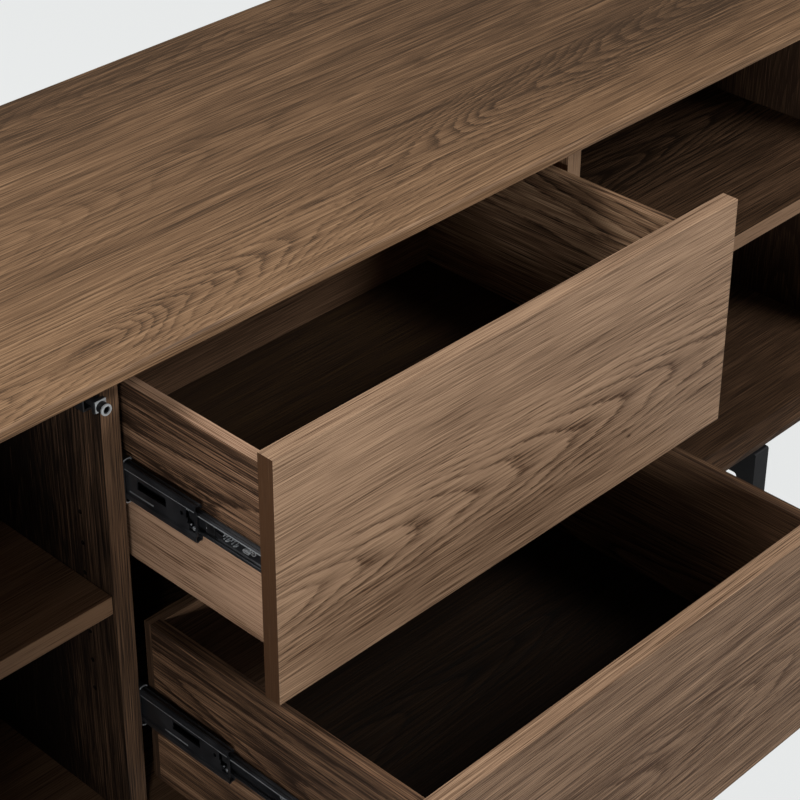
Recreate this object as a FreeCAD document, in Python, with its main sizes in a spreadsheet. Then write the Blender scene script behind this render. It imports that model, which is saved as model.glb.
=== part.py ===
"""A long sideboard: a mitred case with bevelled front edges on two steel leg frames.

The middle bay holds two drawers on telescopic slides, shown pulled out. The left bay has an
adjustable shelf behind a push-to-open door, shown open. The right bay is an open shelf.
X runs along the length, Y from front to back and Z up. The origin is the middle of the
underside of the case.
"""
import FreeCAD, Part
import math
import os
import re
import Sketcher
from FreeCAD import Rotation, Vector

# Driving dimensions in millimetres and degrees
SIZES = {
    # Case
    "case_width": 1743.0,
    "case_depth": 439.0,
    "inner_height": 487.5,
    "panel_thickness": 18.0,
    "edge_round": 6.0,
    "edge_land": 5.0,
    "bevel_depth": 20.0,
    "divider_thickness": 19.0,
    "divider_setback": 41.5,
    "back_thickness": 8.0,
    "back_seat": 8.0,
    "back_ease": 0.3,
    "overrun": 2.0,
    # Dowels between the dividers and the case
    "dowel_radius": 4.0,
    "dowel_half": 12.0,
    "dowel_inset": 60.0,
    "dowel_ease": 0.1,
    # Mitre splines
    "spline_length": 50.0,
    "spline_width": 12.0,
    "spline_thickness": 3.0,
    "spline_inset": 85.0,
    "spline_ease": 0.15,
    # Shelves and their supports
    "shelf_thickness": 18.5,
    "shelf_height": 236.0,
    "shelf_gap": 1.0,
    "shelf_setback": 1.8,
    "shelf_back_gap": 6.0,
    "pin_pitch": 32.0,
    "pin_hole_count": 7,
    "pin_hole_radius": 2.5,
    "pin_hole_depth": 10.0,
    "pin_inset": 38.4,
    "pin_drop": 7.9,
    "pin_spigot_radius": 2.4,
    "pin_spigot_length": 8.0,
    "pin_plate_thickness": 1.8,
    "pin_plate_width": 12.0,
    "pin_plate_height": 16.0,
    "pin_plate_reach": 13.0,
    # Leg frames
    "base_height": 175.0,
    "leg_frame_inset": 270.3,
    "leg_width": 25.0,
    "leg_depth": 24.0,
    "rail_height": 37.0,
    "tube_wall": 2.0,
    "leg_inner_round": 4.0,
    "leg_outer_round": 3.0,
    "plate_thickness": 3.0,
    "plate_width": 64.0,
    "plate_inset": 12.0,
    "leg_screw_inset": 30.0,
    "leg_screw_side": 9.0,
    "leg_screw_radius": 2.5,
    "leg_screw_length": 12.0,
    "leg_screw_head_radius": 5.0,
    "leg_screw_head_height": 3.0,
    "glide_thickness": 5.0,
    "glide_plug": 15.0,
    "glide_ease": 0.2,
    # Drawer fronts and boxes
    "front_thickness": 17.0,
    "front_top_gap": 3.0,
    "front_middle_gap": 4.5,
    "front_bottom_gap": 3.0,
    "front_side_gap": 2.0,
    "front_closed_gap": 2.5,
    "front_edge_round": 0.8,
    "upper_opening_share": 0.5017,
    "lower_opening_share": 0.9913,
    "box_back_space": 42.5,
    "box_top_drop": 31.5,
    "box_rise": 28.5,
    "side_thickness": 12.0,
    "box_back_lip": 8.4,
    "bottom_thickness": 6.0,
    "bottom_rise": 11.4,
    "groove_depth": 6.0,
    "groove_ease": 0.2,
    # Screws through the box into the front
    "front_screw_radius": 2.0,
    "front_screw_bite": 11.0,
    "front_screw_head_radius": 4.0,
    "front_screw_head_height": 2.4,
    "front_screw_inset": 70.0,
    "front_screw_edge": 45.0,
    "screw_ease": 0.1,
    # Drawer slides
    "slide_thickness": 12.7,
    "slide_end_gap": 2.0,
    "slide_height": 45.0,
    "slide_wall": 1.2,
    "slide_flange": 9.5,
    "slide_running_gap": 0.5,
    "middle_height": 37.0,
    "inner_member_height": 21.0,
    "inner_member_flange": 8.0,
    "upper_middle_share": 0.5,
    "lower_middle_share": 0.33,
    "slot_inset": 43.0,
    "slot_length": 36.0,
    "slot_height": 11.0,
    "rivet_hole_inset": 23.0,
    "rivet_hole_radius": 2.6,
    "latch_notch_inset": 4.0,
    "latch_notch_length": 12.0,
    "latch_notch_height": 15.0,
    "lever_inset": 74.0,
    "lever_length": 11.0,
    "lever_thickness": 3.0,
    "slide_screw_radius": 1.6,
    "slide_screw_length": 9.0,
    "slide_screw_head_radius": 3.4,
    "slide_screw_head_height": 1.6,
    "slide_screw_front": 30.0,
    # Door
    "door_gap": 3.0,
    "door_open_angle": 100.0,
    "cup_radius": 17.5,
    "cup_depth": 13.2,
    "cup_wall": 1.0,
    "cup_inset": 22.5,
    "cup_ease": 0.1,
    "cup_flange_thickness": 1.0,
    "cup_flange_height": 64.0,
    "cup_flange_width": 20.0,
    "pivot_inset": 9.3,
    "pivot_depth": 9.6,
    "ear_near": 1.9,
    "ear_far": 2.6,
    "ear_rise": 3.0,
    "ear_inner": 6.6,
    "ear_thickness": 2.0,
    "hinge_inset": 95.0,
    "hinge_pin_radius": 1.0,
    "hinge_running_gap": 0.05,
    "knuckle_radius": 2.0,
    "arm_width": 10.0,
    "arm_thickness": 2.0,
    "arm_drop": 0.9,
    "arm_first_across": 13.5,
    "arm_second_across": 17.5,
    "arm_second_back": 15.0,
    "hinge_plate_thickness": 2.0,
    "hinge_plate_length": 50.0,
    "hinge_plate_height": 44.0,
    "hinge_plate_start": 36.0,
    "hinge_screw_spacing": 32.0,
    "hinge_screw_radius": 2.0,
    "hinge_screw_length": 11.0,
    "hinge_screw_head_radius": 4.0,
    "hinge_screw_head_height": 1.8,
    "cup_screw_spacing": 52.0,
    # Push latch
    "latch_side": 8.0,
    "latch_drop": 29.7,
    "latch_reach": 20.0,
    "latch_body_width": 15.6,
    "latch_body_height": 18.0,
    "latch_body_length": 41.0,
    "latch_body_start": 1.0,
    "latch_collar": 12.0,
    "latch_collar_length": 6.0,
    "latch_nose": 6.5,
    "latch_nose_radius": 5.2,
    "latch_stem_radius": 3.6,
    "latch_stem_length": 19.5,
    "latch_ring_radius": 5.8,
    "latch_ring_length": 3.0,
    "latch_magnet_radius": 3.2,
    "latch_magnet_depth": 2.2,
    "latch_magnet_sink": 0.5,
    "latch_ease": 0.35,
    "latch_screw_radius": 1.5,
    "latch_screw_length": 9.0,
    "latch_screw_head_radius": 2.6,
    "latch_screw_head_height": 1.4,
    "latch_screw_end": 4.5,
    "strike_radius": 7.5,
    "strike_thickness": 0.6,
    "strike_gap": 0.3,
    "strike_screw_radius": 1.5,
    "strike_screw_length": 8.0,
    "strike_screw_head_height": 0.4,
    "strike_screw_head_radius": 2.8,
    # Screws through the back panel
    "back_screw_radius": 1.6,
    "back_screw_length": 18.8,
    "back_screw_head_radius": 3.0,
    "back_screw_head_height": 1.2,
    "back_screw_count": 8,
    "back_screw_edge": 4.2,
}

# Places and sizes that follow from the driving dimensions
PLACES = {
    "bay_width": "(case_width - 2 * panel_thickness - 2 * divider_thickness) / 3",
    "case_height": "inner_height + 2 * panel_thickness",
    "half_width": "case_width / 2",
    "land_y": "-case_depth / 2",
    "rear_y": "case_depth / 2",
    "back_y": "rear_y - back_thickness",
    "ceiling_z": "panel_thickness + inner_height",
    "left_wall_x": "panel_thickness - half_width",
    "right_wall_x": "half_width - panel_thickness",
    "divider_y": "land_y + divider_setback",
    "divider_depth": "back_y - divider_y",
    "left_divider_x": "-bay_width / 2 - divider_thickness",
    "right_divider_x": "bay_width / 2",
    "divider_centre": "bay_width / 2 + divider_thickness / 2",
    "pin_middle_z": "panel_thickness + shelf_height - pin_drop",
    "pin_span": "(pin_hole_count - 1) * pin_pitch",
    "pin_low_z": "pin_middle_z - pin_span / 2",
    "shelf_z": "panel_thickness + shelf_height",
    "shelf_width": "bay_width - 2 * shelf_gap",
    "shelf_depth": "divider_depth - shelf_setback - shelf_back_gap",
    "front_overlay": "(divider_thickness - front_side_gap) / 2",
    "front_width": "bay_width + 2 * front_overlay",
    "front_height": "(inner_height - front_top_gap - front_middle_gap - front_bottom_gap) / 2",
    "closed_y": "divider_y - front_closed_gap",
    "lower_front_z": "panel_thickness + front_bottom_gap",
    "upper_front_z": "lower_front_z + front_height + front_middle_gap",
    "box_height": "front_height - box_top_drop - box_rise",
    "box_width": "bay_width - 2 * slide_thickness",
    "box_inner_width": "box_width - 2 * side_thickness",
    "box_length": "divider_depth - box_back_space",
    "side_length": "box_length - box_back_lip",
    "slide_length": "box_length - slide_end_gap",
    "upper_opening": "slide_length * upper_opening_share",
    "lower_opening": "slide_length * lower_opening_share",
    "frame_depth": "case_depth",
    "leg_foot_z": "glide_thickness - base_height",
    "hinge_x": "left_wall_x + door_gap + pivot_inset",
    "cup_x": "cup_inset - pivot_inset",
    "hinge_y": "closed_y - pivot_depth",
    "door_width": "bay_width - door_gap + front_overlay",
    "door_height": "inner_height - front_top_gap - front_bottom_gap",
    "door_z": "lower_front_z",
    "lower_hinge_z": "door_z + hinge_inset",
    "upper_hinge_z": "door_z + door_height - hinge_inset",
    "latch_x": "left_divider_x - latch_side",
    "latch_z": "ceiling_z - latch_drop",
    "latch_travel": "latch_reach + strike_gap + strike_thickness - front_closed_gap",
    "latch_collar_sink": "latch_nose + latch_collar_length - latch_reach + latch_travel - latch_body_start",
    "latch_stem_sink": "latch_collar_sink + latch_stem_length",
    "latch_screw_y": "divider_y + latch_body_start + latch_body_length - latch_screw_end",
    "spline_side": "(spline_thickness / 2 + spline_ease) * sqrt(2) / 2",
    "spline_along": "(spline_width / 2 + spline_ease) * sqrt(2) / 2",
    "back_screw_step": "(right_wall_x - left_wall_x) / back_screw_count",
    "upper_box_z": "upper_front_z + box_rise",
    "lower_box_z": "lower_front_z + box_rise",
    "leg_x": "case_width / 2 - leg_frame_inset",
    "upper_slide_z": "upper_box_z + box_height / 2",
    "lower_slide_z": "lower_box_z + box_height / 2",
}

doc = FreeCAD.newDocument("sideboard")
sheet = doc.addObject("Spreadsheet::Sheet", "Sizes")
NAME = re.compile(r"[a-z_]+")
parts = []
cabinet_member_screws = []
fitting_screws = []
door_screws = []


def fill_sheet():
    """Write the driving dimensions as plain numbers, then the places as formulas."""
    rows = [(name, repr(number)) for name, number in SIZES.items()]
    rows += [(name, "=" + formula) for name, formula in PLACES.items()]
    for row, (name, text) in enumerate(rows, start=1):
        sheet.set("A%d" % row, name)
        sheet.set("B%d" % row, text)
        sheet.setAlias("B%d" % row, name)
    doc.recompute()


def in_sheet(text):
    """Turn each plain name in a formula into a reference to the sheet."""
    def refer(match):
        word = match.group(0)
        return "Sizes." + word if word in SIZES or word in PLACES else word
    return NAME.sub(refer, text)


def bind(thing, path, text):
    """Tie one property of an object to a formula of named sizes."""
    thing.setExpression(path, in_sheet(text))


def place(thing, x, y, z, axis=None, angle="0"):
    """Put an object at a point given in named sizes, turned about one axis."""
    if axis is not None:
        thing.Placement = FreeCAD.Placement(Vector(0, 0, 0), Rotation(axis, 1.0))
        bind(thing, "Placement.Rotation.Angle", "(%s) * 1 deg" % angle)
    bind(thing, "Placement.Base.x", x)
    bind(thing, "Placement.Base.y", y)
    bind(thing, "Placement.Base.z", z)
    return thing


def keep(thing, label):
    """Name a finished sub-part and list it for writing."""
    thing.Label = label
    parts.append(thing)
    return thing


def new_body(label):
    """Start a body for one sub-part."""
    body = doc.addObject("PartDesign::Body", label)
    return keep(body, label)


def origin_feature(body, role):
    """Find one of the body's own origin planes or axes."""
    return [item for item in body.Origin.OriginFeatures if item.Role == role][0]


def new_sketch(body, role, level="0"):
    """Start a sketch on one of the body's origin planes, moved along that plane's axis."""
    sketch = body.newObject("Sketcher::SketchObject", body.Name + "_sketch")
    sketch.AttachmentSupport = (origin_feature(body, role), [""])
    sketch.MapMode = "FlatFace"
    if level != "0":
        sign = "-" if role == "XZ_Plane" else ""
        bind(sketch, "AttachmentOffset.Base.z", "%s(%s)" % (sign, level))
    return sketch


def outline(sketch, corners):
    """Draw a closed outline through corners given in named sizes."""
    first = sketch.GeometryCount
    count = len(corners)
    turn = 2 * math.pi / count
    ring = [Vector(math.cos(i * turn), math.sin(i * turn), 0) for i in range(count)]
    for i in range(count):
        sketch.addGeometry(Part.LineSegment(ring[i], ring[(i + 1) % count]))
    for i in range(count):
        sketch.addConstraint(Sketcher.Constraint("Coincident", first + i, 2, first + (i + 1) % count, 1))
    for i, (across, up) in enumerate(corners):
        fix_point(sketch, first + i, 1, across, up, ring[i])


def open_path(sketch, corners):
    """Draw an open run of straight lines through corners given in named sizes."""
    starts = [Vector(i, i * i, 0) for i in range(len(corners))]
    for i in range(len(corners) - 1):
        sketch.addGeometry(Part.LineSegment(starts[i], starts[i + 1]))
    for i in range(len(corners) - 2):
        sketch.addConstraint(Sketcher.Constraint("Coincident", i, 2, i + 1, 1))
    for i in range(len(corners) - 1):
        fix_point(sketch, i, 1, corners[i][0], corners[i][1], starts[i])
    last = len(corners) - 1
    fix_point(sketch, last - 1, 2, corners[last][0], corners[last][1], starts[last])


def fix_point(sketch, item, end, across, up, start):
    """Fix one point of a sketch by its distances from the sketch's origin."""
    for kind, text, number in (("DistanceX", across, start.x), ("DistanceY", up, start.y)):
        index = sketch.addConstraint(Sketcher.Constraint(kind, -1, 1, item, end, number))
        bind(sketch, "Constraints[%d]" % index, text)


def rectangle(sketch, across, up, width, height):
    """Draw a rectangle from its low corner."""
    right = "(%s) + (%s)" % (across, width)
    top = "(%s) + (%s)" % (up, height)
    outline(sketch, [(across, up), (right, up), (right, top), (across, top)])


def disc(sketch, across, up, radius):
    """Draw a circle about a point given in named sizes."""
    item = sketch.addGeometry(Part.Circle(Vector(0, 0, 0), Vector(0, 0, 1), 1))
    fix_point(sketch, item, 3, across, up, Vector(0, 0, 0))
    index = sketch.addConstraint(Sketcher.Constraint("Radius", item, 1.0))
    bind(sketch, "Constraints[%d]" % index, radius)


def pad(body, sketch, length, forward=True):
    """Raise a sketch along its plane's axis, or against it."""
    feature = body.newObject("PartDesign::Pad", body.Name + "_pad")
    feature.Profile = sketch
    bind(feature, "Length", length)
    on_front = sketch.AttachmentSupport[0][0].Role == "XZ_Plane"
    feature.Reversed = on_front if forward else not on_front
    return feature


def pocket(body, sketch, length, forward=True):
    """Cut a sketch into the body along its plane's axis, or against it."""
    feature = body.newObject("PartDesign::Pocket", body.Name + "_pocket")
    feature.Profile = sketch
    bind(feature, "Length", length)
    on_front = sketch.AttachmentSupport[0][0].Role == "XZ_Plane"
    feature.Reversed = not on_front if forward else on_front
    return feature


def repeat(body, feature, role, span, count):
    """Repeat a cut along one of the body's axes."""
    pattern = body.newObject("PartDesign::LinearPattern", body.Name + "_pattern")
    pattern.Originals = [feature]
    pattern.Direction = (origin_feature(body, role), [""])
    bind(pattern, "Length", span)
    bind(pattern, "Occurrences", count)
    body.Tip = pattern
    return pattern


def near(number, *others):
    """Tell whether a number equals one of some others."""
    return any(abs(number - other) < 1e-6 for other in others)


def round_edges(body, feature, radius, wanted):
    """Round the edges of a feature whose ends and middle all pass a test."""
    doc.recompute()
    names = []
    for index, edge in enumerate(feature.Shape.Edges, start=1):
        points = [corner.Point for corner in edge.Vertexes] + [edge.CenterOfMass]
        if all(wanted(point) for point in points):
            names.append("Edge%d" % index)
    fillet = body.newObject("PartDesign::Fillet", body.Name + "_round")
    fillet.Base = (feature, names)
    bind(fillet, "Radius", radius)
    return fillet


def box(x, y, z, length, width, height):
    """Make a plain block from its low corner."""
    block = doc.addObject("Part::Box", "block")
    bind(block, "Length", length)
    bind(block, "Width", width)
    bind(block, "Height", height)
    return place(block, x, y, z)


def rod(x, y, z, radius, length, toward="+z"):
    """Make a cylinder that starts at a point and runs along one direction."""
    turns = {"+z": (Vector(0, 0, 1), 0), "-z": (Vector(1, 0, 0), 180), "+x": (Vector(0, 1, 0), 90),
             "-x": (Vector(0, 1, 0), -90), "+y": (Vector(1, 0, 0), -90), "-y": (Vector(1, 0, 0), 90)}
    cylinder = doc.addObject("Part::Cylinder", "rod")
    bind(cylinder, "Radius", radius)
    bind(cylinder, "Height", length)
    axis, angle = turns[toward]
    cylinder.Placement = FreeCAD.Placement(Vector(0, 0, 0), Rotation(axis, angle))
    return place(cylinder, x, y, z)


def join(pieces):
    """Fuse overlapping or touching pieces into one solid."""
    fuse = doc.addObject("Part::MultiFuse", "joined")
    fuse.Shapes = pieces
    return fuse


def less(piece, tool):
    """Cut one piece from another."""
    cut = doc.addObject("Part::Cut", "cut")
    cut.Base = piece
    cut.Tool = tool
    return cut


def group(label, pieces):
    """Keep separate solids of one kind together as one sub-part."""
    compound = doc.addObject("Part::Compound", label)
    compound.Links = pieces
    return keep(compound, label)


OPPOSITE = {"+x": "-x", "-x": "+x", "+y": "-y", "-y": "+y", "+z": "-z", "-z": "+z"}


def screw(x, y, z, toward, kind):
    """Make a screw whose head seats at a point and whose shank runs in one direction."""
    shank = rod(x, y, z, kind + "_radius", kind + "_length", toward)
    head = rod(x, y, z, kind + "_head_radius", kind + "_head_height", OPPOSITE[toward])
    return join([shank, head])


# Case boards

def case_board(label, length, holes):
    """Make one mitred board of the outer case, lying on its outer face with its front at Y zero."""
    body = new_body(label)
    section = new_sketch(body, "YZ_Plane")
    outline(section, [
        ("0", "0"),
        ("case_depth", "0"),
        ("case_depth", "panel_thickness - back_seat"),
        ("case_depth - back_thickness", "panel_thickness - back_seat"),
        ("case_depth - back_thickness", "panel_thickness"),
        ("bevel_depth", "panel_thickness"),
        ("0", "edge_round + edge_land"),
    ])
    board = pad(body, section, length)
    round_edges(body, board, "edge_round", lambda point: near(point.y, 0) and near(point.z, 0))
    mitre = new_sketch(body, "XZ_Plane")
    outline(mitre, [
        ("-overrun", "-overrun"),
        ("panel_thickness + overrun", "panel_thickness + overrun"),
        ("-overrun", "panel_thickness + overrun"),
    ])
    outline(mitre, [
        ("%s + overrun" % length, "-overrun"),
        ("%s + overrun" % length, "panel_thickness + overrun"),
        ("%s - panel_thickness - overrun" % length, "panel_thickness + overrun"),
    ])
    pocket(body, mitre, "case_depth")
    cut_spline_slots(body, length)
    holes(body)
    return body


def cut_spline_slots(body, length):
    """Cut the slots for the mitre splines square into both mitre faces, front and back."""
    mouth = "panel_thickness / 2"
    for end, inward in (("0", 1), (length, -1)):
        sign = "+" if inward > 0 else "-"
        centre = "(%s) %s (%s)" % (end, sign, mouth)
        slot = new_sketch(body, "XZ_Plane", "spline_inset - spline_length / 2 - spline_ease")
        outline(slot, [
            (centre + " - spline_side", "%s - spline_side * %d" % (mouth, inward)),
            (centre + " + spline_side", "%s + spline_side * %d" % (mouth, inward)),
            ("%s + spline_side %s spline_along" % (centre, sign),
             "%s + spline_side * %d - spline_along" % (mouth, inward)),
            ("%s - spline_side %s spline_along" % (centre, sign),
             "%s - spline_side * %d - spline_along" % (mouth, inward)),
        ])
        cut = pocket(body, slot, "spline_length + 2 * spline_ease")
        repeat(body, cut, "Y_Axis", "case_depth - 2 * spline_inset", "2")


def dowel_places():
    """List the distances of the dowels behind the dividers' front edge."""
    return ("dowel_inset", "divider_depth / 2", "divider_depth - dowel_inset")


def cut_dowel_holes(body):
    """Bore the inner face of a long case board for the divider dowels."""
    holes = new_sketch(body, "XY_Plane", "panel_thickness")
    for centre in ("half_width - divider_centre", "half_width + divider_centre"):
        for behind in dowel_places():
            disc(holes, centre, "divider_setback + " + behind, "dowel_radius + dowel_ease")
    pocket(body, holes, "dowel_half + dowel_ease", forward=False)


def leg_screw_places():
    """List the screws of one leg frame's plate from the frame's middle line and the case middle."""
    reach = "(frame_depth / 2 - plate_inset - leg_screw_inset)"
    side = "(plate_width / 2 - leg_screw_side)"
    return [(sign + side, along) for sign in ("-", "") for along in ("-" + reach, "0 * " + reach, reach)]


def long_board_holes(body):
    """Bore a long case board for the divider dowels and for the back panel's screws."""
    cut_dowel_holes(body)
    holes = new_sketch(body, "XZ_Plane", "case_depth - back_thickness")
    for index in range(int(SIZES["back_screw_count"])):
        disc(holes, "panel_thickness + back_screw_step * (%d + 1 / 2)" % index,
             "panel_thickness - back_screw_edge", "back_screw_radius + screw_ease")
    pocket(body, holes, "back_screw_length + back_screw_head_height - back_thickness + screw_ease",
           forward=False)


def bottom_holes(body):
    """Bore the bottom board like the top one and, from below, for the leg screws."""
    long_board_holes(body)
    holes = new_sketch(body, "XY_Plane")
    for middle in ("half_width - leg_x", "half_width + leg_x"):
        for across, along in leg_screw_places():
            disc(holes, "%s + %s" % (middle, across), "case_depth / 2 + " + along,
                 "leg_screw_radius + screw_ease")
    pocket(body, holes, "leg_screw_length - plate_thickness + screw_ease")


def pin_rows(body, first, direction):
    """Bore the two rows of shelf support holes in an end board."""
    holes = new_sketch(body, "XY_Plane", "panel_thickness")
    for across in ("divider_setback + pin_inset", "case_depth - back_thickness - pin_inset"):
        disc(holes, first, across, "pin_hole_radius")
    cut = pocket(body, holes, "pin_hole_depth", forward=False)
    repeat(body, cut, direction, "pin_span", "pin_hole_count")


def left_end_holes(body):
    """Bore the left end board, which hangs from its top end, for shelf supports and hinges."""
    pin_rows(body, "case_height - pin_low_z - pin_span", "X_Axis")
    holes = new_sketch(body, "XY_Plane", "panel_thickness")
    for height in ("lower_hinge_z", "upper_hinge_z"):
        for step in ("-", "+"):
            disc(holes, "case_height - (%s %s hinge_screw_spacing / 2)" % (height, step),
                 "hinge_y - land_y + hinge_plate_start + hinge_plate_length / 2",
                 "hinge_screw_radius + screw_ease")
    pocket(body, holes, "hinge_screw_length - hinge_plate_thickness + screw_ease", forward=False)


def right_end_holes(body):
    """Bore the right end board, which stands on its bottom end, for shelf supports."""
    pin_rows(body, "pin_low_z", "X_Axis")


def build_case():
    """Make the four outer boards, the dividers, the back and what holds them together."""
    bottom = case_board("bottom_panel", "case_width", bottom_holes)
    place(bottom, "-half_width", "land_y", "0")
    top = case_board("top_panel", "case_width", long_board_holes)
    place(top, "half_width", "land_y", "case_height", Vector(0, 1, 0), "180")
    left = case_board("left_end_panel", "case_height", left_end_holes)
    place(left, "-half_width", "land_y", "case_height", Vector(0, 1, 0), "90")
    right = case_board("right_end_panel", "case_height", right_end_holes)
    place(right, "half_width", "land_y", "0", Vector(0, -1, 0), "90")
    divider("left_divider", "left_divider_x", False)
    divider("right_divider", "right_divider_x", True)
    back_panel()
    dowels = []
    for centre in ("-divider_centre", "divider_centre"):
        for level in ("panel_thickness - dowel_half", "ceiling_z - dowel_half"):
            for behind in dowel_places():
                dowels.append(rod(centre, "divider_y + " + behind, level, "dowel_radius", "2 * dowel_half"))
    group("divider_dowels", dowels)
    splines = []
    for across, sign in (("-half_width", 1), ("half_width", -1)):
        for level, rise in (("0", 1), ("case_height", -1)):
            for along in ("land_y + spline_inset", "rear_y - spline_inset"):
                splines.append(mitre_spline(across, sign, level, rise, along))
    group("mitre_splines", splines)


def mitre_spline(corner_x, sign, corner_z, rise, along):
    """Make one flat spline set square across a mitre joint."""
    spline = doc.addObject("Part::Box", "spline")
    bind(spline, "Length", "spline_width")
    bind(spline, "Width", "spline_length")
    bind(spline, "Height", "spline_thickness")
    turn = Rotation(Vector(0, 1, 0), 45 * sign * rise)
    spline.Placement = FreeCAD.Placement(Vector(0, 0, 0), turn)
    along_width = turn.multVec(Vector(1, 0, 0)) / 2
    along_thickness = turn.multVec(Vector(0, 0, 1)) / 2
    offset = "(%d) * panel_thickness / 2 - (%.9f) * spline_width - (%.9f) * spline_thickness"
    across = offset % (sign, along_width.x, along_thickness.x)
    up = offset % (rise, along_width.z, along_thickness.z)
    bind(spline, "Placement.Base.x", "%s + %s" % (corner_x, across))
    bind(spline, "Placement.Base.y", "%s - spline_length / 2" % along)
    bind(spline, "Placement.Base.z", "%s + %s" % (corner_z, up))
    return spline


def divider(label, across, holes_on_right):
    """Make one upright divider with shelf support holes on the side of its outer bay."""
    body = new_body(label)
    plan = new_sketch(body, "XY_Plane")
    rectangle(plan, "0", "0", "divider_thickness", "divider_depth")
    pad(body, plan, "inner_height")
    level = "divider_thickness" if holes_on_right else "0"
    holes = new_sketch(body, "YZ_Plane", level)
    for inset in ("pin_inset", "divider_depth - pin_inset"):
        disc(holes, inset, "pin_low_z - panel_thickness", "pin_hole_radius")
    cut = pocket(body, holes, "pin_hole_depth", forward=not holes_on_right)
    repeat(body, cut, "Z_Axis", "pin_span", "pin_hole_count")
    for height, up in (("0", True), ("inner_height", False)):
        bores = new_sketch(body, "XY_Plane", height)
        for behind in dowel_places():
            disc(bores, "divider_thickness / 2", behind, "dowel_radius + dowel_ease")
        pocket(body, bores, "dowel_half + dowel_ease", forward=up)
    pilots = new_sketch(body, "YZ_Plane", "0" if holes_on_right else "divider_thickness")
    for level in ("upper_slide_z", "lower_slide_z"):
        for along in slide_screw_places():
            disc(pilots, along, level + " - panel_thickness", "slide_screw_radius + screw_ease")
    pocket(body, pilots, "slide_screw_length + screw_ease", forward=holes_on_right)
    if not holes_on_right:
        pilot = new_sketch(body, "YZ_Plane")
        disc(pilot, "latch_screw_y - divider_y", "latch_z - panel_thickness",
             "latch_screw_radius + screw_ease")
        pocket(body, pilot, "latch_screw_length + screw_ease")
    place(body, across, "divider_y", "panel_thickness")


def back_panel():
    """Make the back panel in its rebate, and the screws along its upper and lower edges."""
    body = new_body("back_panel")
    face = new_sketch(body, "XZ_Plane")
    rectangle(face, "0", "0", "bay_width * 3 + 2 * divider_thickness + 2 * back_seat - 2 * back_ease",
              "inner_height + 2 * back_seat - 2 * back_ease")
    pad(body, face, "back_thickness")
    screws = []
    holes = new_sketch(body, "XZ_Plane", "back_thickness")
    sinks = new_sketch(body, "XZ_Plane", "back_thickness")
    for level in ("panel_thickness - back_screw_edge", "ceiling_z + back_screw_edge"):
        for index in range(int(SIZES["back_screw_count"])):
            across = "left_wall_x + back_screw_step * (%d + 1 / 2)" % index
            disc(holes, "%s - (left_wall_x - back_seat + back_ease)" % across,
                 "%s - (panel_thickness - back_seat + back_ease)" % level,
                 "back_screw_radius + screw_ease")
            disc(sinks, "%s - (left_wall_x - back_seat + back_ease)" % across,
                 "%s - (panel_thickness - back_seat + back_ease)" % level,
                 "back_screw_head_radius + screw_ease")
            screws.append(screw(across, "rear_y - back_screw_head_height", level, "-y", "back_screw"))
    pocket(body, holes, "back_thickness", forward=False)
    pocket(body, sinks, "back_screw_head_height", forward=False)
    place(body, "left_wall_x - back_seat + back_ease", "back_y", "panel_thickness - back_seat + back_ease")
    group("back_screws", screws)


def build_shelves():
    """Make the two adjustable shelves and the eight brackets that they rest on."""
    bays = (("left_shelf", "left_wall_x"), ("right_shelf", "right_divider_x + divider_thickness"))
    supports = []
    for label, start in bays:
        body = new_body(label)
        plan = new_sketch(body, "XY_Plane")
        rectangle(plan, "0", "0", "shelf_width", "shelf_depth")
        board = pad(body, plan, "shelf_thickness")
        round_edges(body, board, "front_edge_round", lambda point: near(point.y, 0))
        place(body, start + " + shelf_gap", "divider_y + shelf_setback", "shelf_z")
        for wall, inward in ((start, "+"), (start + " + bay_width", "-")):
            for along in ("divider_y + pin_inset", "back_y - pin_inset"):
                supports.append(shelf_support(wall, inward, along))
    group("shelf_supports", supports)


def shelf_support(wall, inward, along):
    """Make one bracket: a spigot in the wall, a plate on it and a ledge under the shelf."""
    outward = "-" if inward == "+" else "+"
    spigot = rod(wall, along, "pin_middle_z", "pin_spigot_radius", "pin_spigot_length", outward + "x")
    low = "shelf_z - pin_plate_height"
    side = "%s - pin_plate_width / 2" % along
    if inward == "+":
        plate = box(wall, side, low, "pin_plate_thickness", "pin_plate_width", "pin_plate_height")
        ledge = box(wall, side, "shelf_z - pin_plate_thickness", "pin_plate_reach", "pin_plate_width",
                    "pin_plate_thickness")
    else:
        plate = box(wall + " - pin_plate_thickness", side, low, "pin_plate_thickness",
                    "pin_plate_width", "pin_plate_height")
        ledge = box(wall + " - pin_plate_reach", side, "shelf_z - pin_plate_thickness",
                    "pin_plate_reach", "pin_plate_width", "pin_plate_thickness")
    return join([spigot, plate, ledge])


def build_legs():
    """Make the two welded leg frames, their screws and their glides."""
    glides = []
    screws = []
    for label, middle in (("left_leg_frame", "-leg_x"), ("right_leg_frame", "leg_x")):
        leg_frame(label, middle)
        for front in ("land_y", "rear_y - leg_depth"):
            glides.append(glide(middle, front))
        for across, along in leg_screw_places():
            screws.append(screw("%s + %s" % (middle, across), along, "-plate_thickness", "+z", "leg_screw"))
    group("leg_screws", screws)
    group("leg_glides", glides)


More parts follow.
